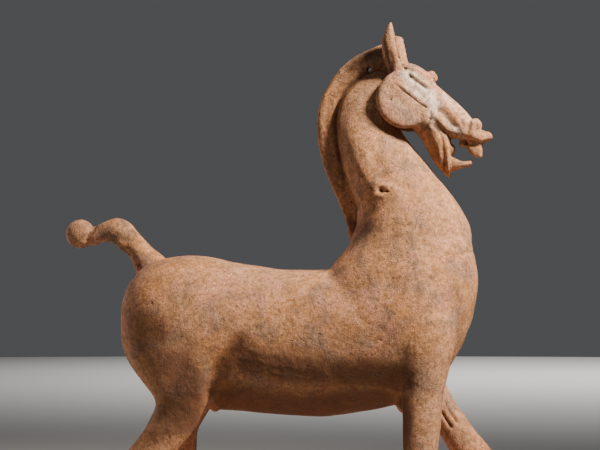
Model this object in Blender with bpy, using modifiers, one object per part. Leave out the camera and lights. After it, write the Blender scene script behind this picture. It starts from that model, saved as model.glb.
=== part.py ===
# Standing pottery horse with an arched neck, an open mouth and a raised tail that ends in a ball.
#
# The horse faces +X, its right side is -Y and +Z is up. The origin is the middle of the underside
# of the low slab that its hooves are fused to. The figure is laid out on a side view whose grid has
# GRID_SQUARES squares from the soles to the tip of the right ear: x runs forward from the middle of
# the slab and z runs up from the soles. Every form is a loft over ribs, and a rib is a line drawn
# on that side view from one edge of the form to the other, with a half width across it.
import math

import bpy
import bmesh
import numpy as np
from mathutils import Matrix, Vector

# Driving dimensions, in metres.
HORSE_HEIGHT = 1.115
SLAB_THICKNESS = 0.020
SLAB_MARGIN = 0.034
SLAB_EDGE_RADIUS = 0.005
HOOF_SINK = 0.006
TIE_HOLE_DIAMETER = 0.011

# Fineness of the model.
BODY_VOXEL = 0.0060
WHOLE_VOXEL = 0.0042
BODY_SMOOTHING = 14
WHOLE_SMOOTHING = 2
HORSE_TRIANGLES = 9300
RIB_SIDES = 40
STEPS_BETWEEN_RIBS = 5

# The side view was drawn from a little ahead of square on, so its lengths along x are stretched.
GRID_SQUARES = 512
DRAWING_TURN = math.radians(9)
SQUARE = HORSE_HEIGHT / GRID_SQUARES
SQUARE_X = SQUARE / math.cos(DRAWING_TURN)

RIGHT = -1
LEFT = 1

# Each rib: x and z of its first edge, x and z of its second edge, half width, all in squares.
TRUNK = [
    (-189, 232, -189, 192, 20),
    (-184, 250, -183, 175, 38),
    (-175, 264, -172, 158, 50),
    (-160, 275, -156, 144, 60),
    (-137, 281, -137, 132, 66),
    (-107, 281, -107, 128, 67),
    (-72, 274.5, -72, 126, 64),
    (-32, 268, -32, 123, 62),
    (8, 267, 8, 121, 63),
    (38, 267, 43, 125, 65),
    (74, 278, 78, 132, 67),
    (106, 297, 106, 141, 66),
    (128, 305, 128, 160, 58),
    (144, 308, 144, 185, 47),
    (154, 302, 154, 207, 36),
    (160, 281, 160, 228, 24),
    (163.5, 264, 163.5, 246, 11),
]
NECK = [
    (6, 240, 150, 212, 60),
    (22, 271, 154, 249, 54),
    (39, 295, 157, 283, 48.5),
    (45, 325, 156, 309, 44),
    (38, 347, 143, 334, 40),
    (32, 369, 129.5, 352, 37),
    (27, 392, 115, 372, 33),
    (25, 415, 98, 393, 26),
    (29, 434, 88, 409, 22),
    (38, 448, 86, 425, 19),
    (51, 456, 90, 438, 17),
    (68, 461, 94, 451, 16),
]
MANE = [
    (39, 290, 66, 305, 9),
    (33, 318, 60, 329, 8.5),
    (22, 346, 50, 353, 8),
    (12.5, 370, 44, 375, 8),
    (7, 392, 40, 395, 8),
    (5.5, 413, 40, 413, 8),
    (8, 433, 42, 427, 8),
    (16, 451, 46, 439, 8),
    (28, 468, 54, 447, 8.5),
    (43, 479.5, 64, 455, 9),
    (58, 487, 74, 456, 10),
    (72, 491.5, 84, 456, 11.5),
    (79, 488, 92, 456, 11),
]
TAIL = [
    (-140, 266, -174, 247, 15),
    (-150, 281, -178, 265, 13),
    (-163, 291, -185, 281, 12),
    (-175, 304, -195, 289, 12),
    (-185, 315.5, -200, 294, 13),
    (-197, 320.5, -207, 296, 12.5),
    (-209, 317.5, -214, 295, 11),
    (-219, 312.5, -220, 292.5, 10),
    (-228, 310, -227, 292.5, 8.5),
]
TAIL_BALL_CENTRE = (-235.5, 304.4)
TAIL_BALL_RADIUS = 14.8

# Limb ribs carry one more number, how far their middle stands from the plane of symmetry.
THIGH = [
    (-180, 200, -66, 205, 30, 36),
    (-174, 178, -70, 183, 31, 38),
    (-163, 158, -79, 163, 30, 40),
]
HIND_BACK = THIGH + [
    (-147, 138, -93.5, 141, 27, 43),
    (-150, 125, -102.5, 123, 24, 44),
    (-158, 110, -112.8, 105, 21, 45),
    (-170.5, 92, -126, 88, 19, 46),
    (-184, 77, -139, 71, 18, 46),
    (-195, 63, -150, 57, 17, 46),
    (-192, 46, -155, 42, 14, 46),
    (-188, 36, -155, 35, 13, 46),
    (-190, 28, -151, 28, 15, 46),
    (-188, 19, -146, 20, 17, 46),
    (-193, 0, -137, 0, 21, 46),
]
HIND_FORWARD = THIGH + [
    (-155, 138, -99, 140, 27, 43),
    (-157, 124, -113.5, 122, 24, 44),
    (-161.5, 108, -124, 104, 21, 45),
    (-166, 90, -126, 88, 19, 46),
    (-170, 77, -127, 73, 18, 46),
    (-173, 62, -131, 57, 17, 46),
    (-168, 45, -133, 42, 14, 46),
    (-165, 35, -132, 34, 13, 46),
    (-167, 28, -129, 28, 15, 46),
    (-166, 19, -124, 20, 17, 46),
    (-170, 0, -115, 0, 21, 46),
]
FORE_STRAIGHT = [
    (73, 215, 146, 222, 32, 34),
    (86, 178, 143, 188, 28, 39),
    (92, 153, 137, 162, 24, 42),
    (94.5, 134, 133, 137, 21, 44),
    (94.5, 112, 131.5, 112, 19, 45),
    (95, 89, 128.5, 89, 17.5, 45),
    (95, 71, 129.5, 73, 17.5, 45),
    (97, 57, 127, 58, 15, 45),
    (100, 42, 125, 42, 13, 45),
    (101, 35, 125.5, 35, 13, 45),
    (97, 28, 130, 28, 15, 45),
    (96, 19, 136.5, 20, 17, 45),
    (92, 0, 146, 0, 21, 45),
]
FORE_STEPPING = [
    (73, 215, 142, 222, 32, 33),
    (80, 175, 134, 192, 28, 37),
    (86, 146, 126, 162, 23, 42),
    (103, 122, 136, 136, 20, 44),
    (119.5, 104, 150, 116, 18.5, 45),
    (131, 86, 164, 98, 18, 45),
    (141, 69, 176.5, 82, 18, 45),
    (152, 56, 180, 63, 15, 45),
    (157, 42, 183, 46, 13, 45),
    (158, 35, 184, 37, 13, 45),
    (157, 27, 188, 30, 15, 45),
    (157, 18, 193, 21, 17, 45),
    (150, 0, 203, 0, 21, 45),
]

SKULL = [
    (80, 474, 76, 440, 15),
    (90, 476, 84, 420, 20),
    (102, 468.5, 98, 412, 22),
    (114, 460, 112, 408, 22),
    (125, 449, 124, 403, 19),
    (137, 438, 136, 398, 15.5),
    (148, 427.5, 147, 396, 13.5),
    (157, 418, 157, 393.5, 14),
    (163.5, 407.5, 163.5, 392, 13.5),
    (168, 404.5, 168, 391.5, 12.5),
    (172, 402.8, 171.5, 393.5, 11),
    (175, 402, 174.5, 394.8, 9),
    (177.3, 399.8, 177.3, 396.6, 5.5),
]
JAW = [
    (122, 420, 90, 424, 20),
    (130, 408, 96, 412, 19.5),
    (136.5, 397, 104, 402, 17.5),
    (138, 387, 112, 391, 15),
    (138, 377, 118, 378, 12.5),
    (138, 370, 123.5, 369, 9.5),
    (138, 364, 129.5, 363, 7),
    (137, 358.5, 134, 358.5, 3.5),
]
LOWER_LIP = [
    (133, 381, 133.5, 359, 8),
    (138, 379.4, 138.6, 363, 8.5),
    (143, 377, 143.2, 366, 8.5),
    (148, 374.5, 148.2, 367.5, 8),
    (153, 374.5, 153.3, 368.5, 7.5),
    (157, 375.5, 157, 370, 6.5),
    (158.8, 374.8, 158.8, 371.5, 4.5),
]
FRONT_TEETH = [
    (154.5, 396, 168.5, 395, 10),
    (153.8, 387, 168.3, 387, 10),
    (154.5, 384, 168.3, 383.8, 9.5),
    (157, 381.2, 168.2, 381, 9),
    (162, 378.2, 168, 378.2, 7.5),
]
EAR = [
    (82, 454, 94, 454, 6, 13),
    (77, 465, 94, 464, 8.5, 15),
    (72.5, 480, 90.5, 478, 9.5, 18),
    (71.5, 491, 88, 487, 8.5, 20),
    (74, 500, 85.5, 497, 6.5, 21),
    (77.5, 507.5, 83.5, 506, 4, 22),
    (80.5, 512, 82, 511.5, 1.5, 22),
]
EAR_HOLLOW = [
    (87, 465, 106, 465, 2.5, 16),
    (84, 471, 106, 470, 5, 17),
    (80.5, 481, 104, 479, 5.8, 19),
    (80, 491, 100, 488, 5.2, 20.5),
    (80.5, 499, 95, 497, 3.2, 21.5),
    (81, 505, 90, 504, 1.2, 22),
]
LEFT_EAR_AHEAD = 4
BROKEN_EAR_TOP = 501.5

CHEEK_CENTRE = (95.3, 434.8)
CHEEK_RADIUS = 29
CHEEK_THICKNESS = 12
CHEEK_FACE_OFFSET = 26.5
CHEEK_TURN = math.radians(10)
GOUGE_GAP = 3
GOUGE_RADIUS = 6
GOUGE_SHIFT = 1.5
GOUGE_OFFSET = 24

# Swellings: centre x and z, offset from the plane of symmetry, half sizes along, across and up, tilt.
EYE = (107.5, 460.5, 14.5, 16.5, 9, 6.6, math.radians(34))
EYE_KNOB = (119.3, 459, 10.5, 5, 6, 5, 0.0)
NOSTRIL = (162, 409.7, 7, 5.2, 6, 6.4, math.radians(12))
TOOTH_STUMP = (150, 391.5, 0, 4.5, 8, 3.5, 0.0)
TONGUE = (138.5, 386, 0, 3.5, 7, 5.5, 0.0)
REAR_BELLY_LUMP = (-97, 131, 0, 5, 15, 6.5, 0.0)
FRONT_BELLY_LUMP = (94, 139, 0, 12, 24, 15, 0.0)

TIE_HOLE_CENTRE = (58, 467)

# The carving is placed on a drawing of the right side in perspective, in units of its own: 600 wide
# and 450 high, y down. The left side takes the same carving, mirrored.
VIEW_DISTANCE = 4.6
VIEW_HEIGHT = 0.55
VIEW_MIDDLE = 312
VIEW_SOLES = 537
VIEW_CENTRE = (300, 225)
VIEW_BACK = Vector((math.sin(DRAWING_TURN), -math.cos(DRAWING_TURN), 0))
VIEW_RIGHT = Vector((math.cos(DRAWING_TURN), math.sin(DRAWING_TURN), 0))
VIEW_TARGET = VIEW_RIGHT * ((VIEW_CENTRE[0] - VIEW_MIDDLE) * SQUARE) + Vector(
    (0, 0, (VIEW_SOLES - VIEW_CENTRE[1]) * SQUARE + SLAB_THICKNESS))

MANE_CREASE = [(389, 71), (378, 72), (369, 74.5), (361, 79), (354.5, 84), (348, 90), (343, 97),
               (339.5, 105), (337.5, 114), (336.5, 123), (337, 133), (338.5, 145), (341, 158),
               (344, 171), (347, 184), (350, 196)]
NECK_FOOT = [(472, 235), (452, 242), (430, 252), (411, 262), (388, 272)]
MANE_MIDDLE = [(366, 58), (352, 66), (340, 79), (332, 94), (328.5, 112), (328, 132), (330, 152), (335, 174)]
THIGH_FOLD = [(243, 329), (236, 338), (228, 350), (219, 361), (210.5, 371), (205, 385), (203, 402)]
ELBOW_FOLD = [(393, 399), (397, 391), (403, 384), (409, 376), (415, 366)]
EYE_CREASE = [(406.3, 66.5), (408.1, 72), (413.2, 78.3), (420.3, 83.6), (426.4, 87.6), (430.6, 89),
              (435.5, 88)]
CHEEK_CRACK = [(393.4, 81.4), (399, 86.5), (404.3, 91), (412, 97), (419.7, 102.9), (428.7, 109)]
CHEEK_FRONT = [(430.2, 109), (431, 115), (429.5, 121), (425, 127.5), (418, 131.5)]
FACE_GROOVE = [(436.5, 106.5), (443, 113), (449.3, 120), (455.5, 126), (462, 130)]
JAW_FURROW = [(430.5, 122), (436, 127), (440.5, 132), (442.8, 139), (443.5, 148), (443.8, 157), (444.5, 166),
              (446, 174)]
LIP_LINE = [(452, 139.5), (460, 142), (468, 144), (476, 146), (482, 146.5)]
EAR_ROOT_HOLLOW = [(391.3, 50), (392, 58), (393, 67)]
TAIL_NECK = [(95.5, 225), (92, 231), (88.5, 236), (86, 242)]

CLAY = (0.50, 0.30, 0.19, 1.0)
CLAY_ROUGHNESS = 0.85


def clear_scene():
    for old in list(bpy.data.objects):
        bpy.data.objects.remove(old, do_unlink=True)


def place(x, z, across=0.0):
    """A point of the side view, in metres above the slab's underside."""
    return Vector((x * SQUARE_X, across * SQUARE, z * SQUARE + SLAB_THICKNESS))


def smooth_through(rows, steps):
    """A Catmull-Rom curve through rows of numbers, with this many steps between two rows."""
    rows = np.array(rows, float)
    padded = np.vstack([2 * rows[0] - rows[1], rows, 2 * rows[-1] - rows[-2]])
    out = []
    for i in range(1, len(padded) - 2):
        a, b, c, d = padded[i - 1:i + 3]
        for k in range(steps):
            t = k / steps
            out.append(0.5 * (2 * b + (c - a) * t + (2 * a - 5 * b + 4 * c - d) * t * t
                              + (3 * b - 3 * c + d - a) * t ** 3))
    out.append(rows[-1])
    return out


def rib_ring(rib, side, squareness, pear):
    """The closed section that stands on a rib: pear above 0 makes it fuller towards its second edge."""
    x0, z0, x1, z1, half_width = rib[:5]
    offset = side * rib[5] if len(rib) > 5 else 0.0
    ring = []
    for k in range(RIB_SIDES):
        angle = 2 * math.pi * k / RIB_SIDES
        c = math.cos(angle)
        s = math.sin(angle)
        along = math.copysign(abs(c) ** (2 / squareness), c)
        across = math.copysign(abs(s) ** (2 / squareness), s) * (1 - pear * along)
        middle = 0.5 * (1 - along)
        ring.append(place(x0 + (x1 - x0) * middle, z0 + (z1 - z0) * middle, offset + half_width * across))
    return ring


def loft(name, ribs, side=RIGHT, squareness=2.0, pear=0.0):
    """A closed form over ribs, with a flat cap on each end."""
    shape = bmesh.new()
    rings = []
    for rib in smooth_through(ribs, STEPS_BETWEEN_RIBS):
        rings.append([shape.verts.new(point) for point in rib_ring(rib, side, squareness, pear)])
    for first, second in zip(rings, rings[1:]):
        for k in range(RIB_SIDES):
            j = (k + 1) % RIB_SIDES
            shape.faces.new((first[k], first[j], second[j], second[k]))
    shape.faces.new(rings[0])
    shape.faces.new(rings[-1])
    bmesh.ops.recalc_face_normals(shape, faces=shape.faces)
    return to_object(name, shape)


def to_object(name, shape):
    mesh = bpy.data.meshes.new(name)
    shape.to_mesh(mesh)
    shape.free()
    made = bpy.data.objects.new(name, mesh)
    bpy.context.scene.collection.objects.link(made)
    return made


def swelling(name, form, side=0):
    """An ellipsoid on the side view."""
    x, z, offset, half_x, half_y, half_z, tilt = form
    shape = bmesh.new()
    bmesh.ops.create_uvsphere(shape, u_segments=24, v_segments=16, radius=1.0)
    sizes = Matrix.Diagonal((half_x * SQUARE, half_y * SQUARE, half_z * SQUARE, 1))
    where = Matrix.Translation(place(x, z, side * offset))
    bmesh.ops.transform(shape, matrix=where @ Matrix.Rotation(tilt, 4, "Y") @ sizes, verts=shape.verts)
    return to_object(name, shape)


def cheek_plate(side):
    """The round jaw plate: a disc with a rounded rim, turned so that its rear edge stands proud."""
    shape = bmesh.new()
    bmesh.ops.create_cone(shape, cap_ends=True, segments=64, depth=CHEEK_THICKNESS * SQUARE,
                          radius1=CHEEK_RADIUS * SQUARE, radius2=CHEEK_RADIUS * SQUARE)
    rim = [edge for edge in shape.edges if len(edge.link_faces[0].verts) != len(edge.link_faces[1].verts)]
    bmesh.ops.bevel(shape, geom=rim, offset=CHEEK_THICKNESS * SQUARE * 0.4,
                     segments=3, profile=0.5, affect="EDGES")
    middle = CHEEK_FACE_OFFSET - CHEEK_THICKNESS / 2
    turn = Matrix.Rotation(side * -CHEEK_TURN, 4, "Z") @ Matrix.Rotation(math.radians(90), 4, "X")
    where = Matrix.Translation(place(*CHEEK_CENTRE, side * middle))
    bmesh.ops.transform(shape, matrix=where @ turn, verts=shape.verts)
    return to_object("cheek", shape)


def ear(side, top=None):
    """A pointed leaf, hollow in front. With a top, its tip is broken off flat there."""
    ahead = LEFT_EAR_AHEAD if side == LEFT else 0
    ribs = [(x0 + ahead, z0, x1 + ahead, z1, *across) for x0, z0, x1, z1, *across in EAR]
    made = loft("ear", ribs, side, pear=0.1)
    hollow = [(x0 + ahead, z0, x1 + ahead, z1, *across) for x0, z0, x1, z1, *across in EAR_HOLLOW]
    cut(made, [loft("hollow", hollow, side)])
    if top is not None:
        shape = bmesh.new()
        shape.from_mesh(made.data)
        sliced = bmesh.ops.bisect_plane(
            shape,
            geom=shape.verts[:] + shape.edges[:] + shape.faces[:],
            plane_co=place(EAR[-1][0] + ahead, top),
            plane_no=(0.25, 0, 1),
            clear_outer=True,
        )
        rim = [part for part in sliced["geom_cut"] if isinstance(part, bmesh.types.BMEdge)]
        bmesh.ops.triangle_fill(shape, use_beauty=True, edges=rim)
        bmesh.ops.recalc_face_normals(shape, faces=shape.faces)
        shape.to_mesh(made.data)
        shape.free()
    return made


def fuse(name, objects, voxel, smoothing):
    """One closed surface round all the objects, smoothed; the objects themselves are removed."""
    shape = bmesh.new()
    for each in objects:
        shape.from_mesh(each.data)
        bpy.data.objects.remove(each, do_unlink=True)
    made = to_object(name, shape)
    remesh = made.modifiers.new("remesh", "REMESH")
    remesh.mode = "VOXEL"
    remesh.voxel_size = voxel
    if smoothing:
        smooth = made.modifiers.new("smooth", "SMOOTH")
        smooth.factor = 0.5
        smooth.iterations = smoothing
    return apply_modifiers(made)


def apply_modifiers(made):
    graph = bpy.context.evaluated_depsgraph_get()
    mesh = bpy.data.meshes.new_from_object(made.evaluated_get(graph))
    made.modifiers.clear()
    made.data = mesh
    return made


def limb(name, ribs, side):
    """A leg, carried on below the top of the slab so that its hoof is fused to it."""
    x0, _, x1, _, half_width, offset = ribs[-1]
    depth = -HOOF_SINK / SQUARE
    return loft(name, ribs + [(x0, depth, x1, depth, half_width, offset)], side, squareness=2.2)


def throat_gouge(side):
    """The ring cut out of the neck round the rear and lower rim of a cheek plate."""
    x, z = CHEEK_CENTRE
    bpy.ops.mesh.primitive_torus_add(
        major_radius=(CHEEK_RADIUS + GOUGE_GAP) * SQUARE,
        minor_radius=GOUGE_RADIUS * SQUARE,
        major_segments=64,
        minor_segments=16,
        location=place(x - GOUGE_SHIFT, z - GOUGE_SHIFT, side * GOUGE_OFFSET),
        rotation=(math.radians(90), 0, side * -CHEEK_TURN),
    )
    return bpy.context.object


def cut(made, cutters):
    """Takes the cutters out of the object and removes them."""
    for cutter in cutters:
        difference = made.modifiers.new("cut", "BOOLEAN")
        difference.operation = "DIFFERENCE"
        difference.object = cutter
    apply_modifiers(made)
    for cutter in cutters:
        bpy.data.objects.remove(cutter, do_unlink=True)


def body_forms():
    yield loft("trunk", TRUNK, squareness=2.2)
    yield loft("neck", NECK, squareness=2.1, pear=-0.1)
    yield limb("hind_right", HIND_BACK, RIGHT)
    yield limb("hind_left", HIND_FORWARD, LEFT)
    yield limb("fore_right", FORE_STRAIGHT, RIGHT)
    yield limb("fore_left", FORE_STEPPING, LEFT)


def fine_forms():
    yield mane_plate()
    yield loft("tail", TAIL)
    yield swelling("ball", (*TAIL_BALL_CENTRE, 0, TAIL_BALL_RADIUS, TAIL_BALL_RADIUS, TAIL_BALL_RADIUS, 0.0))
    yield loft("skull", SKULL, squareness=2.8, pear=0.15)
    yield loft("jaw", JAW, squareness=2.8, pear=-0.2)
    yield loft("lower_lip", LOWER_LIP, squareness=2.6)
    yield loft("front_teeth", FRONT_TEETH, squareness=4.0)
    yield swelling("tooth_stump", TOOTH_STUMP)
    yield swelling("tongue", TONGUE)
    yield ear(RIGHT)
    yield ear(LEFT, BROKEN_EAR_TOP)
    for lump in (REAR_BELLY_LUMP, FRONT_BELLY_LUMP):
        yield swelling("lump", lump)
    for side in (RIGHT, LEFT):
        yield cheek_plate(side)
        yield swelling("eye", EYE, side)
        yield swelling("eye_knob", EYE_KNOB, side)
        yield swelling("nostril", NOSTRIL, side)


def drawing_of(points):
    """Where points of the right side fall on the drawing."""
    right = np.array(VIEW_RIGHT)
    back = np.array(VIEW_BACK)
    nearer = VIEW_DISTANCE / (VIEW_DISTANCE - points @ back)
    along = (points @ right - VIEW_TARGET.dot(VIEW_RIGHT)) * nearer / SQUARE
    level = (points[:, 2] - VIEW_HEIGHT) * nearer / SQUARE
    drop = (VIEW_TARGET.z - VIEW_HEIGHT) / SQUARE
    return np.stack([VIEW_CENTRE[0] + along, VIEW_CENTRE[1] - level + drop], axis=1)


def read_vectors(collection, name):
    values = np.empty(len(collection) * 3, np.float32)
    collection.foreach_get(name, values)
    return values.reshape(-1, 3).astype(float)


class Surface:
    """The points and normals of a mesh, with each point's place on the drawing."""

    def __init__(self, made):
        self.mesh = made.data
        self.points = read_vectors(self.mesh.vertices, "co")
        self.refresh()

    def refresh(self):
        """Writes the points back, reads the normals again and works out the drawing places."""
        self.mesh.vertices.foreach_set("co", self.points.astype(np.float32).ravel())
        self.mesh.update()
        self.normals = read_vectors(self.mesh.vertex_normals, "vector")
        mirror = np.ones_like(self.points)
        mirror[self.points[:, 1] > 0, 1] = -1
        self.left = self.points[:, 1] > 0
        self.across = np.abs(self.points[:, 1]) / SQUARE
        self.drawn = drawing_of(self.points * mirror)
        self.facing = (self.normals * mirror) @ np.array(VIEW_BACK)

    def push(self, where, amount):
        """Moves points along their normals by an amount in squares, positive outwards."""
        self.points[where] += self.normals[where] * (amount * SQUARE)[:, None]


def near_line(spots, line):
    """Distance of each spot to a line of points, which side of it the spot is on, and how far along."""
    line = np.array(line, float)
    steps = np.diff(line, axis=0)
    lengths = np.linalg.norm(steps, axis=1)
    before = np.concatenate([[0], np.cumsum(lengths)])
    best = np.full(len(spots), 1e9)
    side = np.zeros(len(spots))
    along = np.zeros(len(spots))
    for start, step, length, done in zip(line, steps, lengths, before):
        offset = spots - start
        t = np.clip(offset @ step / length ** 2, 0, 1)
        away = offset - t[:, None] * step
        distance = np.hypot(away[:, 0], away[:, 1])
        closer = distance < best
        best[closer] = distance[closer]
        side[closer] = np.sign(step[0] * offset[closer, 1] - step[1] * offset[closer, 0])
        along[closer] = (done + t[closer] * length) / before[-1]
    return best, side, along


def stroke(surface, line, width, height, across=(0, 99), ends=(0.15, 0.15), shift=0.0, least_facing=0.05):
    """A ridge (height above 0) or groove along a line of the drawing, fading out over its two ends."""
    line = np.array(smooth_through(line, 4))
    reach = 3 * width + abs(shift)
    spots = surface.drawn
    inside = (spots > line.min(0) - reach) & (spots < line.max(0) + reach)
    where = np.flatnonzero(inside.all(1) & (surface.across >= across[0]) & (surface.across <= across[1])
                           & (surface.facing > least_facing))
    distance, side, along = near_line(spots[where], line)
    distance = np.abs(distance * side - shift)
    fade = np.clip(along / ends[0], 0, 1) * np.clip((1 - along) / ends[1], 0, 1)
    turned = np.clip((surface.facing[where] - least_facing) / 0.25, 0, 1)
    surface.push(where, height * fade * turned * np.exp(-(distance / width) ** 2))


def dab(surface, centre, radii, height, turn=0.0, across=(0, 99), least_facing=0.05):
    """A rounded bump (height above 0) or pit at a place of the drawing."""
    offset = surface.drawn - np.array(centre)
    c = math.cos(turn)
    s = math.sin(turn)
    u = (offset[:, 0] * c + offset[:, 1] * s) / radii[0]
    v = (offset[:, 1] * c - offset[:, 0] * s) / radii[1]
    reach = np.hypot(u, v)
    where = np.flatnonzero((reach < 2.4) & (surface.across >= across[0]) & (surface.across <= across[1])
                           & (surface.facing > least_facing))
    turned = np.clip((surface.facing[where] - least_facing) / 0.25, 0, 1)
    surface.push(where, height * turned * np.exp(-reach[where] ** 2))


def carve_neck(s):
    """The crease between the mane and the neck's raised edge, and the soft folds of the neck."""
    stroke(s, MANE_CREASE, 2.6, -2.6, ends=(0.06, 0.3), shift=2.0)
    stroke(s, MANE_CREASE, 2.8, 1.4, ends=(0.06, 0.3), shift=-3.0)
    stroke(s, MANE_MIDDLE, 6, -1.2)
    stroke(s, [(350, 150), (358, 165), (367, 180), (378, 198)], 6, 1.0, across=(12, 70))
    stroke(s, [(366, 140), (375, 158), (384, 175), (390, 190)], 5, -0.9, across=(12, 70))
    stroke(s, [(405, 140), (410, 155), (420, 172), (432, 188)], 5, 0.9, across=(8, 70))
    stroke(s, [(345, 205), (352, 222), (361, 232)], 6, -1.0, across=(0, 60))
    stroke(s, NECK_FOOT, 11, 2.0, ends=(0.4, 0.3))


def carve_head(s):
    face = (5, 60)
    stroke(s, EYE_CREASE, 2.0, -1.8, across=face, ends=(0.25, 0.3))
    dab(s, (433, 83), (4, 3), 0.8, across=face)
    stroke(s, CHEEK_CRACK, 1.1, -0.4, across=(12, 60), ends=(0.08, 0.08))
    stroke(s, CHEEK_CRACK, 2.2, 0.9, across=(12, 60), ends=(0.3, 0.1), shift=-3.2)
    stroke(s, CHEEK_FRONT, 1.9, -1.6, across=(10, 60))
    stroke(s, FACE_GROOVE, 3.6, -3.2, across=face, ends=(0.12, 0.25))
    stroke(s, [(438, 97), (449, 108), (459, 118)], 3.4, 0.8, across=face)
    stroke(s, [(432, 113), (438, 118), (444, 124.5), (450, 131)], 2.2, 1.3, across=(8, 60))
    stroke(s, JAW_FURROW, 2.6, -2.2, across=(3, 60), ends=(0.1, 0.15))
    stroke(s, [(449, 142), (448.3, 152), (448, 162), (448, 173)], 1.4, 0.9, across=(3, 60))
    stroke(s, [(430, 131), (436, 141), (440, 152), (443, 164)], 2.4, 0.7, across=(3, 60))
    dab(s, (469, 126), (2.4, 4.6), -3.4, turn=math.radians(12), across=(3, 60))
    dab(s, (477, 125), (1.6, 3.4), -1.6, turn=math.radians(8), across=(3, 60))
    stroke(s, LIP_LINE, 1.5, -1.2, across=(2, 60), ends=(0.1, 0.3))


def carve_ears(s):
    stroke(s, EAR_ROOT_HOLLOW, 3.0, -1.1, across=(10, 40), ends=(0.3, 0.2))
    stroke(s, [(385, 57), (386.5, 65), (389, 72)], 2.4, -1.2, across=(6, 40))


def carve_body(s):
    stroke(s, THIGH_FOLD, 5.5, -2.8, across=(20, 99), ends=(0.3, 0.2), shift=-5)
    stroke(s, THIGH_FOLD, 13, -4.5, across=(20, 99), ends=(0.5, 0.1), shift=-16)
    stroke(s, THIGH_FOLD, 7.0, 2.0, across=(20, 99), ends=(0.25, 0.1), shift=6)
    stroke(s, ELBOW_FOLD, 4.0, -1.8, across=(20, 99), ends=(0.3, 0.4))
    stroke(s, TAIL_NECK, 1.6, -1.6, ends=(0.02, 0.02))
    stroke(s, [(104, 239), (112, 240.5), (119, 242.5), (126, 247)], 2.4, 1.4)
    stroke(s, [(118, 248.5), (125, 252), (131, 258)], 2.4, -1.6)
    dab(s, (160, 330), (22, 34), 1.5, across=(25, 99))
    dab(s, (178, 372), (10, 26), -1.6, turn=math.radians(20), across=(25, 99))
    dab(s, (415, 320), (24, 26), 1.5, across=(25, 99))


def carve(made):
    surface = Surface(made)
    for step in (carve_neck, carve_head, carve_ears, carve_body):
        step(surface)
    surface.refresh()
    return surface


def mane_plate():
    return loft("mane", MANE, squareness=3.5)


def reduce_to(made, triangles):
    made.data.calc_loop_triangles()
    decimate = made.modifiers.new("decimate", "DECIMATE")
    decimate.ratio = triangles / len(made.data.loop_triangles)
    decimate.use_collapse_triangulate = True
    return apply_modifiers(made)


def slab():
    """The low slab, as long and wide as the hooves that stand on it and a margin."""
    soles = [limb[-1] for limb in (HIND_BACK, HIND_FORWARD, FORE_STRAIGHT, FORE_STEPPING)]
    reach = max(max(abs(sole[0]), abs(sole[2])) for sole in soles) * SQUARE_X
    spread = max(sole[4] + sole[5] for sole in soles) * SQUARE
    size = Vector((2 * (reach + SLAB_MARGIN), 2 * (spread + SLAB_MARGIN), SLAB_THICKNESS))
    shape = bmesh.new()
    bmesh.ops.create_cube(shape, size=1.0)
    bmesh.ops.scale(shape, vec=size, verts=shape.verts)
    bmesh.ops.translate(shape, vec=(0, 0, SLAB_THICKNESS / 2), verts=shape.verts)
    bmesh.ops.bevel(shape, geom=shape.edges[:], offset=SLAB_EDGE_RADIUS, segments=3,
                     profile=0.5, affect="EDGES")
    return to_object("slab", shape)


def tie_hole():
    """The hole through the top of the mane."""
    bpy.ops.mesh.primitive_cylinder_add(
        vertices=20,
        radius=TIE_HOLE_DIAMETER / 2,
        depth=6 * MANE[-1][4] * SQUARE,
        location=place(*TIE_HOLE_CENTRE),
        rotation=(math.radians(90), 0, 0),
    )
    return bpy.context.object


def build_horse():
    body = fuse("body", list(body_forms()), BODY_VOXEL, BODY_SMOOTHING)
    cut(body, [throat_gouge(RIGHT), throat_gouge(LEFT)])
    horse = fuse("funerary_horse", [body, *fine_forms()], WHOLE_VOXEL, WHOLE_SMOOTHING)
    carve(horse)
    reduce_to(horse, HORSE_TRIANGLES)
    cut(horse, [tie_hole()])
    return horse


def stand_on_slab(horse):
    base = slab()
    union = horse.modifiers.new("slab", "BOOLEAN")
    union.operation = "UNION"
    union.object = base
    apply_modifiers(horse)
    bpy.data.objects.remove(base, do_unlink=True)


def main():
    clear_scene()
    horse = build_horse()
    stand_on_slab(horse)
    material = bpy.data.materials.new("fired_clay")
    material.use_nodes = True
    surface = material.node_tree.nodes["Principled BSDF"]
    surface.inputs["Base Color"].default_value = CLAY
    surface.inputs["Roughness"].default_value = CLAY_ROUGHNESS
    horse.data.materials.clear()
    horse.data.materials.append(material)


main()
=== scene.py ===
import math

import bmesh
import bpy
import numpy as np
from mathutils import Matrix, Vector

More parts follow.
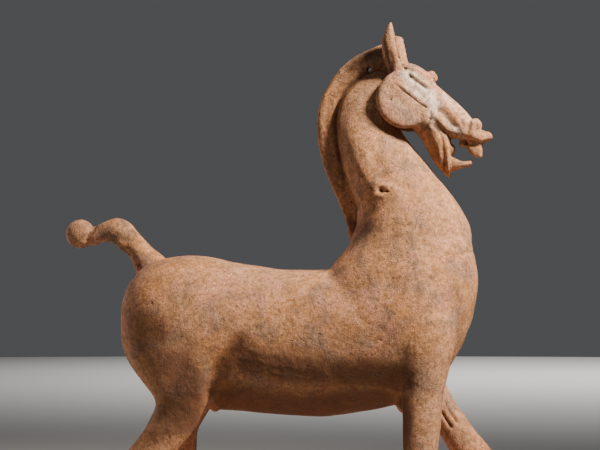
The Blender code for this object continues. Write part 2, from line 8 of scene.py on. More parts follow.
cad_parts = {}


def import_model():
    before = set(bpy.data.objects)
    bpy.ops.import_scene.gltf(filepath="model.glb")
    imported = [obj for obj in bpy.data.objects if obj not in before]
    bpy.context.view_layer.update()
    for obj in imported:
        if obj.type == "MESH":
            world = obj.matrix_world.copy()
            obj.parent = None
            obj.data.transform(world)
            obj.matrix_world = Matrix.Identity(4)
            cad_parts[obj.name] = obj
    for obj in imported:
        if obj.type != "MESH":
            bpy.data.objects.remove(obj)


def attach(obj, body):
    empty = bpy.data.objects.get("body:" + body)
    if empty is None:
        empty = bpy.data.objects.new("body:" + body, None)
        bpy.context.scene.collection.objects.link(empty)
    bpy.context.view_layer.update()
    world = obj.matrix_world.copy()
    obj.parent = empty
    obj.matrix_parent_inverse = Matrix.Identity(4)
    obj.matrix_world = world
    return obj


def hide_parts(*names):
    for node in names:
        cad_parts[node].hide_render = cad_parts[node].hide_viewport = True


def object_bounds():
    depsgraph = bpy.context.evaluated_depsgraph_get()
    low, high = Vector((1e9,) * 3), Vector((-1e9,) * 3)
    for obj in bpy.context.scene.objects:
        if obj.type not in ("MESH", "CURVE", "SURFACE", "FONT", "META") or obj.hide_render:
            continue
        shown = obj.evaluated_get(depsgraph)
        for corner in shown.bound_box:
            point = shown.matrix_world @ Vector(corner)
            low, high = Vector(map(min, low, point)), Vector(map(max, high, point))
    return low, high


# Sizes shared with the solid, in metres.
HORSE_HEIGHT = 1.115
SLAB_THICKNESS = 0.020
SLAB_MARGIN = 0.034
HOOF_SINK = 0.006
TIE_HOLE_DIAMETER = 0.011

# Fineness of the visible mesh.
BODY_VOXEL = 0.0045
WHOLE_VOXEL = 0.0023
BODY_BLEND = 0.0225
WHOLE_BLEND = 0.0035
VISIBLE_TRIANGLES = 186000
SLAB_VOXEL = 0.004
SLAB_SMOOTHING = 3
SLAB_TRIANGLES = 9000
RIB_SIDES = 64
STEPS_BETWEEN_RIBS = 8

# The side view was drawn from a little ahead of square on, so its lengths along x are stretched.
GRID_SQUARES = 512
DRAWING_TURN = math.radians(9)
SQUARE = HORSE_HEIGHT / GRID_SQUARES
SQUARE_X = SQUARE / math.cos(DRAWING_TURN)

RIGHT = -1
LEFT = 1

# Each rib: x and z of its first edge, x and z of its second edge, half width, all in squares.
TRUNK = [
    (-189, 232, -189, 192, 20),
    (-184, 250, -183, 175, 38),
    (-175, 264, -172, 158, 50),
    (-160, 275, -156, 144, 60),
    (-137, 281, -137, 132, 66),
    (-107, 281, -107, 128, 67),
    (-72, 274.5, -72, 126, 64),
    (-32, 268, -32, 123, 62),
    (8, 267, 8, 121, 63),
    (38, 267, 43, 125, 65),
    (74, 278, 78, 132, 67),
    (106, 297, 106, 141, 66),
    (128, 305, 128, 160, 58),
    (144, 308, 144, 185, 47),
    (154, 302, 154, 207, 36),
    (160, 281, 160, 228, 24),
    (163.5, 264, 163.5, 246, 11),
]
NECK = [
    (6, 240, 150, 212, 60),
    (22, 271, 154, 249, 54),
    (39, 295, 157, 283, 48.5),
    (45, 325, 156, 309, 44),
    (38, 347, 143, 334, 40),
    (32, 369, 129.5, 352, 37),
    (27, 392, 115, 372, 33),
    (25, 415, 98, 393, 26),
    (29, 434, 88, 409, 22),
    (38, 448, 86, 425, 19),
    (51, 456, 90, 438, 17),
    (68, 461, 94, 451, 16),
]
MANE = [
    (39, 290, 66, 305, 9),
    (33, 318, 60, 329, 8.5),
    (22, 346, 50, 353, 8),
    (12.5, 370, 44, 375, 8),
    (7, 392, 40, 395, 8),
    (5.5, 413, 40, 413, 8),
    (8, 433, 42, 427, 8),
    (16, 451, 46, 439, 8),
    (28, 468, 54, 447, 8.5),
    (43, 479.5, 64, 455, 9),
    (58, 487, 74, 456, 10),
    (72, 491.5, 84, 456, 11.5),
    (79, 488, 92, 456, 11),
]
TAIL = [
    (-140, 266, -174, 247, 15),
    (-150, 281, -178, 265, 13),
    (-163, 291, -185, 281, 12),
    (-175, 304, -195, 289, 12),
    (-185, 315.5, -200, 294, 13),
    (-197, 320.5, -207, 296, 12.5),
    (-209, 317.5, -214, 295, 11),
    (-219, 312.5, -220, 292.5, 10),
    (-228, 310, -227, 292.5, 8.5),
]
TAIL_BALL_CENTRE = (-235.5, 304.4)
TAIL_BALL_RADIUS = 14.8

# Limb ribs carry one more number, how far their middle stands from the plane of symmetry.
THIGH = [
    (-180, 200, -66, 205, 30, 36),
    (-174, 178, -70, 183, 31, 38),
    (-163, 158, -79, 163, 30, 40),
]
HIND_BACK = THIGH + [
    (-147, 138, -93.5, 141, 27, 43),
    (-150, 125, -102.5, 123, 24, 44),
    (-158, 110, -112.8, 105, 21, 45),
    (-170.5, 92, -126, 88, 19, 46),
    (-184, 77, -139, 71, 18, 46),
    (-195, 63, -150, 57, 17, 46),
    (-192, 46, -155, 42, 14, 46),
    (-188, 36, -155, 35, 13, 46),
    (-190, 28, -151, 28, 15, 46),
    (-188, 19, -146, 20, 17, 46),
    (-193, 0, -137, 0, 21, 46),
]
HIND_FORWARD = THIGH + [
    (-155, 138, -99, 140, 27, 43),
    (-157, 124, -113.5, 122, 24, 44),
    (-161.5, 108, -124, 104, 21, 45),
    (-166, 90, -126, 88, 19, 46),
    (-170, 77, -127, 73, 18, 46),
    (-173, 62, -131, 57, 17, 46),
    (-168, 45, -133, 42, 14, 46),
    (-165, 35, -132, 34, 13, 46),
    (-167, 28, -129, 28, 15, 46),
    (-166, 19, -124, 20, 17, 46),
    (-170, 0, -115, 0, 21, 46),
]
FORE_STRAIGHT = [
    (73, 215, 146, 222, 32, 34),
    (86, 178, 143, 188, 28, 39),
    (92, 153, 137, 162, 24, 42),
    (94.5, 134, 133, 137, 21, 44),
    (94.5, 112, 131.5, 112, 19, 45),
    (95, 89, 128.5, 89, 17.5, 45),
    (95, 71, 129.5, 73, 17.5, 45),
    (97, 57, 127, 58, 15, 45),
    (100, 42, 125, 42, 13, 45),
    (101, 35, 125.5, 35, 13, 45),
    (97, 28, 130, 28, 15, 45),
    (96, 19, 136.5, 20, 17, 45),
    (92, 0, 146, 0, 21, 45),
]
FORE_STEPPING = [
    (73, 215, 142, 222, 32, 33),
    (80, 175, 134, 192, 28, 37),
    (86, 146, 126, 162, 23, 42),
    (103, 122, 136, 136, 20, 44),
    (119.5, 104, 150, 116, 18.5, 45),
    (131, 86, 164, 98, 18, 45),
    (141, 69, 176.5, 82, 18, 45),
    (152, 56, 180, 63, 15, 45),
    (157, 42, 183, 46, 13, 45),
    (158, 35, 184, 37, 13, 45),
    (157, 27, 188, 30, 15, 45),
    (157, 18, 193, 21, 17, 45),
    (150, 0, 203, 0, 21, 45),
]

SKULL = [
    (80, 474, 76, 440, 15),
    (90, 476, 84, 420, 20),
    (102, 468.5, 98, 412, 22),
    (114, 460, 112, 408, 22),
    (125, 449, 124, 403, 19),
    (137, 438, 136, 398, 15.5),
    (148, 427.5, 147, 396, 13.5),
    (157, 418, 157, 393.5, 14),
    (163.5, 407.5, 163.5, 392, 13.5),
    (168, 404.5, 168, 391.5, 12.5),
    (172, 402.8, 171.5, 393.5, 11),
    (175, 402, 174.5, 394.8, 9),
    (177.3, 399.8, 177.3, 396.6, 5.5),
]
JAW = [
    (122, 420, 90, 424, 20),
    (130, 408, 96, 412, 19.5),
    (136.5, 397, 104, 402, 17.5),
    (138, 387, 112, 391, 15),
    (138, 377, 118, 378, 12.5),
    (138, 370, 123.5, 369, 9.5),
    (138, 364, 129.5, 363, 7),
    (137, 358.5, 134, 358.5, 3.5),
]
LOWER_LIP = [
    (133, 381, 133.5, 359, 8),
    (138, 379.4, 138.6, 363, 8.5),
    (143, 377, 143.2, 366, 8.5),
    (148, 374.5, 148.2, 367.5, 8),
    (153, 374.5, 153.3, 368.5, 7.5),
    (157, 375.5, 157, 370, 6.5),
    (158.8, 374.8, 158.8, 371.5, 4.5),
]
FRONT_TEETH = [
    (154.5, 396, 168.5, 395, 10),
    (153.8, 387, 168.3, 387, 10),
    (154.5, 384, 168.3, 383.8, 9.5),
    (157, 381.2, 168.2, 381, 9),
    (162, 378.2, 168, 378.2, 7.5),
]
EAR = [
    (82, 454, 94, 454, 6, 13),
    (77, 465, 94, 464, 8.5, 15),
    (72.5, 480, 90.5, 478, 9.5, 18),
    (71.5, 491, 88, 487, 8.5, 20),
    (74, 500, 85.5, 497, 6.5, 21),
    (77.5, 507.5, 83.5, 506, 4, 22),
    (80.5, 512, 82, 511.5, 1.5, 22),
]
EAR_HOLLOW = [
    (87, 465, 106, 465, 2.5, 16),
    (84, 471, 106, 470, 5, 17),
    (80.5, 481, 104, 479, 5.8, 19),
    (80, 491, 100, 488, 5.2, 20.5),
    (80.5, 499, 95, 497, 3.2, 21.5),
    (81, 505, 90, 504, 1.2, 22),
]
LEFT_EAR_AHEAD = 4
BROKEN_EAR_TOP = 501.5

CHEEK_CENTRE = (95.3, 434.8)
CHEEK_RADIUS = 29
CHEEK_THICKNESS = 12
CHEEK_FACE_OFFSET = 26.5
CHEEK_TURN = math.radians(10)
GOUGE_GAP = 3
GOUGE_RADIUS = 6
GOUGE_SHIFT = 1.5
GOUGE_OFFSET = 24

# Swellings: centre x and z, offset from the plane of symmetry, half sizes along, across and up, tilt.
EYE = (107.5, 460.5, 14.5, 16.5, 9, 6.6, math.radians(34))
EYE_KNOB = (119.3, 459, 10.5, 5, 6, 5, 0.0)
NOSTRIL = (162, 409.7, 7, 5.2, 6, 6.4, math.radians(12))
TOOTH_STUMP = (150, 391.5, 0, 4.5, 8, 3.5, 0.0)
TONGUE = (138.5, 386, 0, 3.5, 7, 5.5, 0.0)
REAR_BELLY_LUMP = (-97, 131, 0, 5, 15, 6.5, 0.0)
FRONT_BELLY_LUMP = (94, 139, 0, 12, 24, 15, 0.0)

TIE_HOLE_CENTRE = (58, 467)

# The carving is placed on a drawing of the right side in perspective, in units of its own: 600 wide
# and 450 high, y down. The left side takes the same carving, mirrored.
VIEW_DISTANCE = 4.6
VIEW_HEIGHT = 0.55
VIEW_MIDDLE = 312
VIEW_SOLES = 537
VIEW_WIDTH = 600
VIEW_CENTRE = (300, 225)
VIEW_BACK = Vector((math.sin(DRAWING_TURN), -math.cos(DRAWING_TURN), 0))
VIEW_RIGHT = Vector((math.cos(DRAWING_TURN), math.sin(DRAWING_TURN), 0))
VIEW_TARGET = VIEW_RIGHT * ((VIEW_CENTRE[0] - VIEW_MIDDLE) * SQUARE) + Vector(
    (0, 0, (VIEW_SOLES - VIEW_CENTRE[1]) * SQUARE + SLAB_THICKNESS))

MANE_CREASE = [(389, 71), (378, 72), (369, 74.5), (361, 79), (354.5, 84), (348, 90), (343, 97),
               (339.5, 105), (337.5, 114), (336.5, 123), (337, 133), (338.5, 145), (341, 158),
               (344, 171), (347, 184), (350, 196)]
NECK_FOOT = [(472, 235), (452, 242), (430, 252), (411, 262), (388, 272)]
MANE_MIDDLE = [(366, 58), (352, 66), (340, 79), (332, 94), (328.5, 112), (328, 132), (330, 152), (335, 174)]
THIGH_FOLD = [(243, 329), (236, 338), (228, 350), (219, 361), (210.5, 371), (205, 385), (203, 402)]
ELBOW_FOLD = [(393, 399), (397, 391), (403, 384), (409, 376), (415, 366)]
EYE_CREASE = [(406.3, 66.5), (408.1, 72), (413.2, 78.3), (420.3, 83.6), (426.4, 87.6), (430.6, 89),
              (435.5, 88)]
CHEEK_CRACK = [(393.4, 81.4), (399, 86.5), (404.3, 91), (412, 97), (419.7, 102.9), (428.7, 109)]
CHEEK_FRONT = [(430.2, 109), (431, 115), (429.5, 121), (425, 127.5), (418, 131.5)]
FACE_GROOVE = [(436.5, 106.5), (443, 113), (449.3, 120), (455.5, 126), (462, 130)]
JAW_FURROW = [(430.5, 122), (436, 127), (440.5, 132), (442.8, 139), (443.5, 148), (443.8, 157), (444.5, 166),
              (446, 174)]
LIP_LINE = [(452, 139.5), (460, 142), (468, 144), (476, 146), (482, 146.5)]
EAR_ROOT_HOLLOW = [(391.3, 50), (392, 58), (393, 67)]
TAIL_NECK = [(95.5, 225), (92, 231), (88.5, 236), (86, 242)]


def place(x, z, across=0.0):
    """A point of the side view, in metres above the slab's underside."""
    return Vector((x * SQUARE_X, across * SQUARE, z * SQUARE + SLAB_THICKNESS))


def smooth_through(rows, steps):
    """A Catmull-Rom curve through rows of numbers, with this many steps between two rows."""
    rows = np.array(rows, float)
    padded = np.vstack([2 * rows[0] - rows[1], rows, 2 * rows[-1] - rows[-2]])
    out = []
    for i in range(1, len(padded) - 2):
        a, b, c, d = padded[i - 1:i + 3]
        for k in range(steps):
            t = k / steps
            out.append(0.5 * (2 * b + (c - a) * t + (2 * a - 5 * b + 4 * c - d) * t * t
                              + (3 * b - 3 * c + d - a) * t ** 3))
    out.append(rows[-1])
    return out


def rib_ring(rib, side, squareness, pear):
    """The closed section that stands on a rib: pear above 0 makes it fuller towards its second edge."""
    x0, z0, x1, z1, half_width = rib[:5]
    offset = side * rib[5] if len(rib) > 5 else 0.0
    ring = []
    for k in range(RIB_SIDES):
        angle = 2 * math.pi * k / RIB_SIDES
        c = math.cos(angle)
        s = math.sin(angle)
        along = math.copysign(abs(c) ** (2 / squareness), c)
        across = math.copysign(abs(s) ** (2 / squareness), s) * (1 - pear * along)
        middle = 0.5 * (1 - along)
        ring.append(place(x0 + (x1 - x0) * middle, z0 + (z1 - z0) * middle, offset + half_width * across))
    return ring


def loft(name, ribs, side=RIGHT, squareness=2.0, pear=0.0):
    """A closed form over ribs, with a flat cap on each end."""
    shape = bmesh.new()
    rings = []
    for rib in smooth_through(ribs, STEPS_BETWEEN_RIBS):
        rings.append([shape.verts.new(point) for point in rib_ring(rib, side, squareness, pear)])
    for first, second in zip(rings, rings[1:]):
        for k in range(RIB_SIDES):
            j = (k + 1) % RIB_SIDES
            shape.faces.new((first[k], first[j], second[j], second[k]))
    shape.faces.new(rings[0])
    shape.faces.new(rings[-1])
    bmesh.ops.recalc_face_normals(shape, faces=shape.faces)
    return to_object(name, shape)


def to_object(name, shape):
    mesh = bpy.data.meshes.new(name)
    shape.to_mesh(mesh)
    shape.free()
    made = bpy.data.objects.new(name, mesh)
    bpy.context.scene.collection.objects.link(made)
    return made


def swelling(name, form, side=0):
    """An ellipsoid on the side view."""
    x, z, offset, half_x, half_y, half_z, tilt = form
    shape = bmesh.new()
    bmesh.ops.create_uvsphere(shape, u_segments=24, v_segments=16, radius=1.0)
    sizes = Matrix.Diagonal((half_x * SQUARE, half_y * SQUARE, half_z * SQUARE, 1))
    where = Matrix.Translation(place(x, z, side * offset))
    bmesh.ops.transform(shape, matrix=where @ Matrix.Rotation(tilt, 4, "Y") @ sizes, verts=shape.verts)
    return to_object(name, shape)


def cheek_plate(side):
    """The round jaw plate: a disc with a rounded rim, turned so that its rear edge stands proud."""
    shape = bmesh.new()
    bmesh.ops.create_cone(shape, cap_ends=True, segments=64, depth=CHEEK_THICKNESS * SQUARE,
                          radius1=CHEEK_RADIUS * SQUARE, radius2=CHEEK_RADIUS * SQUARE)
    rim = [edge for edge in shape.edges if len(edge.link_faces[0].verts) != len(edge.link_faces[1].verts)]
    bmesh.ops.bevel(shape, geom=rim, offset=CHEEK_THICKNESS * SQUARE * 0.4,
                     segments=3, profile=0.5, affect="EDGES")
    middle = CHEEK_FACE_OFFSET - CHEEK_THICKNESS / 2
    turn = Matrix.Rotation(side * -CHEEK_TURN, 4, "Z") @ Matrix.Rotation(math.radians(90), 4, "X")
    where = Matrix.Translation(place(*CHEEK_CENTRE, side * middle))
    bmesh.ops.transform(shape, matrix=where @ turn, verts=shape.verts)
    return to_object("cheek", shape)


def ear(side, top=None):
    """A pointed leaf, hollow in front. With a top, its tip is broken off flat there."""
    ahead = LEFT_EAR_AHEAD if side == LEFT else 0
    ribs = [(x0 + ahead, z0, x1 + ahead, z1, *across) for x0, z0, x1, z1, *across in EAR]
    made = loft("ear", ribs, side, pear=0.1)
    hollow = [(x0 + ahead, z0, x1 + ahead, z1, *across) for x0, z0, x1, z1, *across in EAR_HOLLOW]
    cut(made, [loft("hollow", hollow, side)])
    if top is not None:
        shape = bmesh.new()
        shape.from_mesh(made.data)
        sliced = bmesh.ops.bisect_plane(
            shape,
            geom=shape.verts[:] + shape.edges[:] + shape.faces[:],
            plane_co=place(EAR[-1][0] + ahead, top),
            plane_no=(0.25, 0, 1),
            clear_outer=True,
        )
        rim = [part for part in sliced["geom_cut"] if isinstance(part, bmesh.types.BMEdge)]
        bmesh.ops.triangle_fill(shape, use_beauty=True, edges=rim)
        bmesh.ops.recalc_face_normals(shape, faces=shape.faces)
        shape.to_mesh(made.data)
        shape.free()
    return made


def fuse(name, objects, voxel, smoothing):
    """One closed surface round all the objects, smoothed; the objects themselves are removed."""
    shape = bmesh.new()
    for each in objects:
        shape.from_mesh(each.data)
        bpy.data.objects.remove(each, do_unlink=True)
    made = to_object(name, shape)
    remesh = made.modifiers.new("remesh", "REMESH")
    remesh.mode = "VOXEL"
    remesh.voxel_size = voxel
    if smoothing:
        smooth = made.modifiers.new("smooth", "SMOOTH")
        smooth.factor = 0.5
        smooth.iterations = smoothing
    return apply_modifiers(made)


def apply_modifiers(made):
    graph = bpy.context.evaluated_depsgraph_get()
    mesh = bpy.data.meshes.new_from_object(made.evaluated_get(graph))
    made.modifiers.clear()
    made.data = mesh
    return made


def limb(name, ribs, side):
    """A leg, carried on below the top of the slab so that its hoof is fused to it."""
    x0, _, x1, _, half_width, offset = ribs[-1]
    depth = -HOOF_SINK / SQUARE
    return loft(name, ribs + [(x0, depth, x1, depth, half_width, offset)], side, squareness=2.2)


def throat_gouge(side):
    """The ring cut out of the neck round the rear and lower rim of a cheek plate."""
    x, z = CHEEK_CENTRE
    bpy.ops.mesh.primitive_torus_add(
        major_radius=(CHEEK_RADIUS + GOUGE_GAP) * SQUARE,
        minor_radius=GOUGE_RADIUS * SQUARE,
        major_segments=64,
        minor_segments=16,
        location=place(x - GOUGE_SHIFT, z - GOUGE_SHIFT, side * GOUGE_OFFSET),
        rotation=(math.radians(90), 0, side * -CHEEK_TURN),
    )
    return bpy.context.object


def cut(made, cutters):
    """Takes the cutters out of the object and removes them."""
    for cutter in cutters:
        difference = made.modifiers.new("cut", "BOOLEAN")
        difference.operation = "DIFFERENCE"
        difference.object = cutter
    apply_modifiers(made)
    for cutter in cutters:
        bpy.data.objects.remove(cutter, do_unlink=True)


def body_forms():
    yield loft("trunk", TRUNK, squareness=2.2)
    yield loft("neck", NECK, squareness=2.1, pear=-0.1)
    yield limb("hind_right", HIND_BACK, RIGHT)
    yield limb("hind_left", HIND_FORWARD, LEFT)
    yield limb("fore_right", FORE_STRAIGHT, RIGHT)
    yield limb("fore_left", FORE_STEPPING, LEFT)


def fine_forms():
    yield mane_plate()
    yield loft("tail", TAIL)
    yield swelling("ball", (*TAIL_BALL_CENTRE, 0, TAIL_BALL_RADIUS, TAIL_BALL_RADIUS, TAIL_BALL_RADIUS, 0.0))
    yield loft("skull", SKULL, squareness=2.8, pear=0.15)
    yield loft("jaw", JAW, squareness=2.8, pear=-0.2)
    yield loft("lower_lip", LOWER_LIP, squareness=2.6)
    yield loft("front_teeth", FRONT_TEETH, squareness=4.0)
    yield swelling("tooth_stump", TOOTH_STUMP)
    yield swelling("tongue", TONGUE)
    yield ear(RIGHT)
    yield ear(LEFT, BROKEN_EAR_TOP)
    for lump in (REAR_BELLY_LUMP, FRONT_BELLY_LUMP):
        yield swelling("lump", lump)
    for side in (RIGHT, LEFT):
        yield cheek_plate(side)
        yield swelling("eye", EYE, side)
        yield swelling("eye_knob", EYE_KNOB, side)
        yield swelling("nostril", NOSTRIL, side)


def drawing_of(points):
    """Where points of the right side fall on the drawing."""
    right = np.array(VIEW_RIGHT)
    back = np.array(VIEW_BACK)
    nearer = VIEW_DISTANCE / (VIEW_DISTANCE - points @ back)
    along = (points @ right - VIEW_TARGET.dot(VIEW_RIGHT)) * nearer / SQUARE
    level = (points[:, 2] - VIEW_HEIGHT) * nearer / SQUARE
    drop = (VIEW_TARGET.z - VIEW_HEIGHT) / SQUARE
    return np.stack([VIEW_CENTRE[0] + along, VIEW_CENTRE[1] - level + drop], axis=1)


def read_vectors(collection, name):
    values = np.empty(len(collection) * 3, np.float32)
    collection.foreach_get(name, values)
    return values.reshape(-1, 3).astype(float)


class Surface:
    """The points and normals of a mesh, with each point's place on the drawing."""

    def __init__(self, made):
        self.mesh = made.data
        self.points = read_vectors(self.mesh.vertices, "co")
        self.refresh()

    def refresh(self):
        """Writes the points back, reads the normals again and works out the drawing places."""
        self.mesh.vertices.foreach_set("co", self.points.astype(np.float32).ravel())
        self.mesh.update()
        self.normals = read_vectors(self.mesh.vertex_normals, "vector")
        mirror = np.ones_like(self.points)
        mirror[self.points[:, 1] > 0, 1] = -1
        self.left = self.points[:, 1] > 0
        self.across = np.abs(self.points[:, 1]) / SQUARE
        self.drawn = drawing_of(self.points * mirror)
        self.facing = (self.normals * mirror) @ np.array(VIEW_BACK)

    def push(self, where, amount):
        """Moves points along their normals by an amount in squares, positive outwards."""
        self.points[where] += self.normals[where] * (amount * SQUARE)[:, None]


def near_line(spots, line):
    """Distance of each spot to a line of points, which side of it the spot is on, and how far along."""
    line = np.array(line, float)
    steps = np.diff(line, axis=0)
    lengths = np.linalg.norm(steps, axis=1)
    before = np.concatenate([[0], np.cumsum(lengths)])
    best = np.full(len(spots), 1e9)
    side = np.zeros(len(spots))
    along = np.zeros(len(spots))
    for start, step, length, done in zip(line, steps, lengths, before):
        offset = spots - start
        t = np.clip(offset @ step / length ** 2, 0, 1)
        away = offset - t[:, None] * step
        distance = np.hypot(away[:, 0], away[:, 1])
        closer = distance < best
        best[closer] = distance[closer]
        side[closer] = np.sign(step[0] * offset[closer, 1] - step[1] * offset[closer, 0])
        along[closer] = (done + t[closer] * length) / before[-1]
    return best, side, along


def stroke(surface, line, width, height, across=(0, 99), ends=(0.15, 0.15), shift=0.0, least_facing=0.05):
    """A ridge (height above 0) or groove along a line of the drawing, fading out over its two ends."""
    line = np.array(smooth_through(line, 4))
    reach = 3 * width + abs(shift)
    spots = surface.drawn
    inside = (spots > line.min(0) - reach) & (spots < line.max(0) + reach)
    where = np.flatnonzero(inside.all(1) & (surface.across >= across[0]) & (surface.across <= across[1])
                           & (surface.facing > least_facing))
    distance, side, along = near_line(spots[where], line)
    distance = np.abs(distance * side - shift)
    fade = np.clip(along / ends[0], 0, 1) * np.clip((1 - along) / ends[1], 0, 1)
    turned = np.clip((surface.facing[where] - least_facing) / 0.25, 0, 1)
    surface.push(where, height * fade * turned * np.exp(-(distance / width) ** 2))


def dab(surface, centre, radii, height, turn=0.0, across=(0, 99), least_facing=0.05):
    """A rounded bump (height above 0) or pit at a place of the drawing."""
    offset = surface.drawn - np.array(centre)
    c = math.cos(turn)
    s = math.sin(turn)
    u = (offset[:, 0] * c + offset[:, 1] * s) / radii[0]
    v = (offset[:, 1] * c - offset[:, 0] * s) / radii[1]
    reach = np.hypot(u, v)
    where = np.flatnonzero((reach < 2.4) & (surface.across >= across[0]) & (surface.across <= across[1])
                           & (surface.facing > least_facing))
    turned = np.clip((surface.facing[where] - least_facing) / 0.25, 0, 1)
    surface.push(where, height * turned * np.exp(-reach[where] ** 2))


def carve_neck(s):
    """The crease between the mane and the neck's raised edge, and the soft folds of the neck."""
    stroke(s, MANE_CREASE, 2.6, -2.6, ends=(0.06, 0.3), shift=2.0)
    stroke(s, MANE_CREASE, 2.8, 1.4, ends=(0.06, 0.3), shift=-3.0)
    stroke(s, MANE_MIDDLE, 6, -1.2)
    stroke(s, [(350, 150), (358, 165), (367, 180), (378, 198)], 6, 1.0, across=(12, 70))
    stroke(s, [(366, 140), (375, 158), (384, 175), (390, 190)], 5, -0.9, across=(12, 70))
    stroke(s, [(405, 140), (410, 155), (420, 172), (432, 188)], 5, 0.9, across=(8, 70))
    stroke(s, [(345, 205), (352, 222), (361, 232)], 6, -1.0, across=(0, 60))
    stroke(s, NECK_FOOT, 11, 2.0, ends=(0.4, 0.3))


def carve_head(s):
    face = (5, 60)
    stroke(s, EYE_CREASE, 2.0, -1.8, across=face, ends=(0.25, 0.3))
    dab(s, (433, 83), (4, 3), 0.8, across=face)
    stroke(s, CHEEK_CRACK, 1.1, -0.4, across=(12, 60), ends=(0.08, 0.08))
    stroke(s, CHEEK_CRACK, 2.2, 0.9, across=(12, 60), ends=(0.3, 0.1), shift=-3.2)
    stroke(s, CHEEK_FRONT, 1.9, -1.6, across=(10, 60))
    stroke(s, FACE_GROOVE, 3.6, -3.2, across=face, ends=(0.12, 0.25))
    stroke(s, [(438, 97), (449, 108), (459, 118)], 3.4, 0.8, across=face)
    stroke(s, [(432, 113), (438, 118), (444, 124.5), (450, 131)], 2.2, 1.3, across=(8, 60))
    stroke(s, JAW_FURROW, 2.6, -2.2, across=(3, 60), ends=(0.1, 0.15))
    stroke(s, [(449, 142), (448.3, 152), (448, 162), (448, 173)], 1.4, 0.9, across=(3, 60))
    stroke(s, [(430, 131), (436, 141), (440, 152), (443, 164)], 2.4, 0.7, across=(3, 60))
    dab(s, (469, 126), (2.4, 4.6), -3.4, turn=math.radians(12), across=(3, 60))
    dab(s, (477, 125), (1.6, 3.4), -1.6, turn=math.radians(8), across=(3, 60))
    stroke(s, LIP_LINE, 1.5, -1.2, across=(2, 60), ends=(0.1, 0.3))


def carve_ears(s):
    stroke(s, EAR_ROOT_HOLLOW, 3.0, -1.1, across=(10, 40), ends=(0.3, 0.2))
    stroke(s, [(385, 57), (386.5, 65), (389, 72)], 2.4, -1.2, across=(6, 40))


def carve_body(s):
    stroke(s, THIGH_FOLD, 5.5, -2.8, across=(20, 99), ends=(0.3, 0.2), shift=-5)
    stroke(s, THIGH_FOLD, 13, -4.5, across=(20, 99), ends=(0.5, 0.1), shift=-16)
    stroke(s, THIGH_FOLD, 7.0, 2.0, across=(20, 99), ends=(0.25, 0.1), shift=6)
    stroke(s, ELBOW_FOLD, 4.0, -1.8, across=(20, 99), ends=(0.3, 0.4))
    stroke(s, TAIL_NECK, 1.6, -1.6, ends=(0.02, 0.02))
    stroke(s, [(104, 239), (112, 240.5), (119, 242.5), (126, 247)], 2.4, 1.4)
    stroke(s, [(118, 248.5), (125, 252), (131, 258)], 2.4, -1.6)
    dab(s, (160, 330), (22, 34), 1.5, across=(25, 99))
    dab(s, (178, 372), (10, 26), -1.6, turn=math.radians(20), across=(25, 99))
    dab(s, (415, 320), (24, 26), 1.5, across=(25, 99))


def carve(made):
    surface = Surface(made)
    for step in (carve_neck, carve_head, carve_ears, carve_body):
        step(surface)
    surface.refresh()
    return surface



# Each layer of an uneven surface: height, seed, number of waves, shortest and longest wave in metres.
# The heights on the horse are in squares, and those on the slab in metres.
CLAY_LAYERS = [(0.42, 11, 14, 0.10, 0.26), (0.22, 12, 18, 0.035, 0.08)]
PATCH_LAYERS = [(1.0, 21, 40, 0.006, 0.022), (0.8, 22, 30, 0.018, 0.05)]
SLAB_TOP_LAYERS = [(0.0006, 41, 12, 0.10, 0.3), (0.00025, 42, 14, 0.02, 0.05)]
SLAB_EDGE_LAYERS = [(0.0006, 43, 14, 0.03, 0.12), (0.0004, 44, 16, 0.012, 0.03)]


def waves(points, seed, count, shortest, longest):
    """A smooth random field from a few sine waves, about -1 to 1."""
    chance = np.random.default_rng(seed)
    total = np.zeros(len(points))
    for _ in range(count):
        way = chance.normal(size=3)
        way /= np.linalg.norm(way)
        length = chance.uniform(shortest, longest)
        total += np.sin(points @ way * (2 * math.pi / length) + chance.uniform(0, 2 * math.pi))
    return total / math.sqrt(count)


def uneven(points, layers):
    return sum(height * waves(points, *rest) for height, *rest in layers)


# How far from the middle plane each place of the carving reaches, in squares.
FACE = (5, 60)
CHEEK = (12, 60)
MUZZLE = (3, 60)
EAR_SIDE = (14, 40)
EAR_FRONT = (3, 45)
EAR_MIDDLE = (8, 40)
BODY_SIDE = (25, 99)

CHEST_LINE = [(450, 256), (458, 255), (467, 253), (478, 251)]
MANE_DRAG = [(330, 135), (333, 152), (338, 170)]
# The pit in the neck, as dabs: centre, radii, height.
NECK_PIT = [
    ((389, 187), (7.5, 6.0), 2.0),
    ((376, 184), (5, 5), 1.2),
    ((384, 196), (7, 3), 1.0),
    ((381, 190), (3.2, 2.9), -4.4),
    ((387, 191.5), (2.2, 1.4), -2.2),
    ((391, 189), (1.2, 1.2), -1.2),
    ((361.8, 176), (1.6, 1.4), -1.4),
]
UPPER_LID = [(421, 79), (427, 80), (432, 78.5), (436, 79)]
EAR_ROOT = (405, 66.6)
CREASE_TOP = [(407.5, 70), (409.5, 74), (412, 78)]
NOSTRIL_RIM = [(472.6, 118.5), (473, 124), (472.4, 130.5)]
NOSTRIL_BACK = [(461, 118), (463, 124), (466, 131)]
NOSE_GROOVE = [(449, 106), (455, 113), (461, 119)]
LOWER_TOOTH_GAPS = [(461.5, 169.2, -1.3), (455, 172, -1.1), (467, 168.8, -0.7), (458, 170.4, 0.6)]
UPPER_TOOTH_GAPS = [(460, 150), (463.5, 149.5)]
EAR_BACK_LINE = [(388, 30), (389, 40), (390, 48)]
EAR_SLOT = [(395.2, 35), (396.9, 41), (398.8, 49), (400.3, 58)]
EAR_EDGE = [(392.2, 32), (394.0, 41), (395.9, 50), (397.6, 59)]
EAR_SLOT_FOOT = (399.6, 55.5)
TAIL_PIT = (116.9, 223.5)
FINGER_GROOVES = [[(444, 399), (448, 408), (453, 416), (460, 425)], [(440, 409), (446, 419.5), (452.5, 429)]]
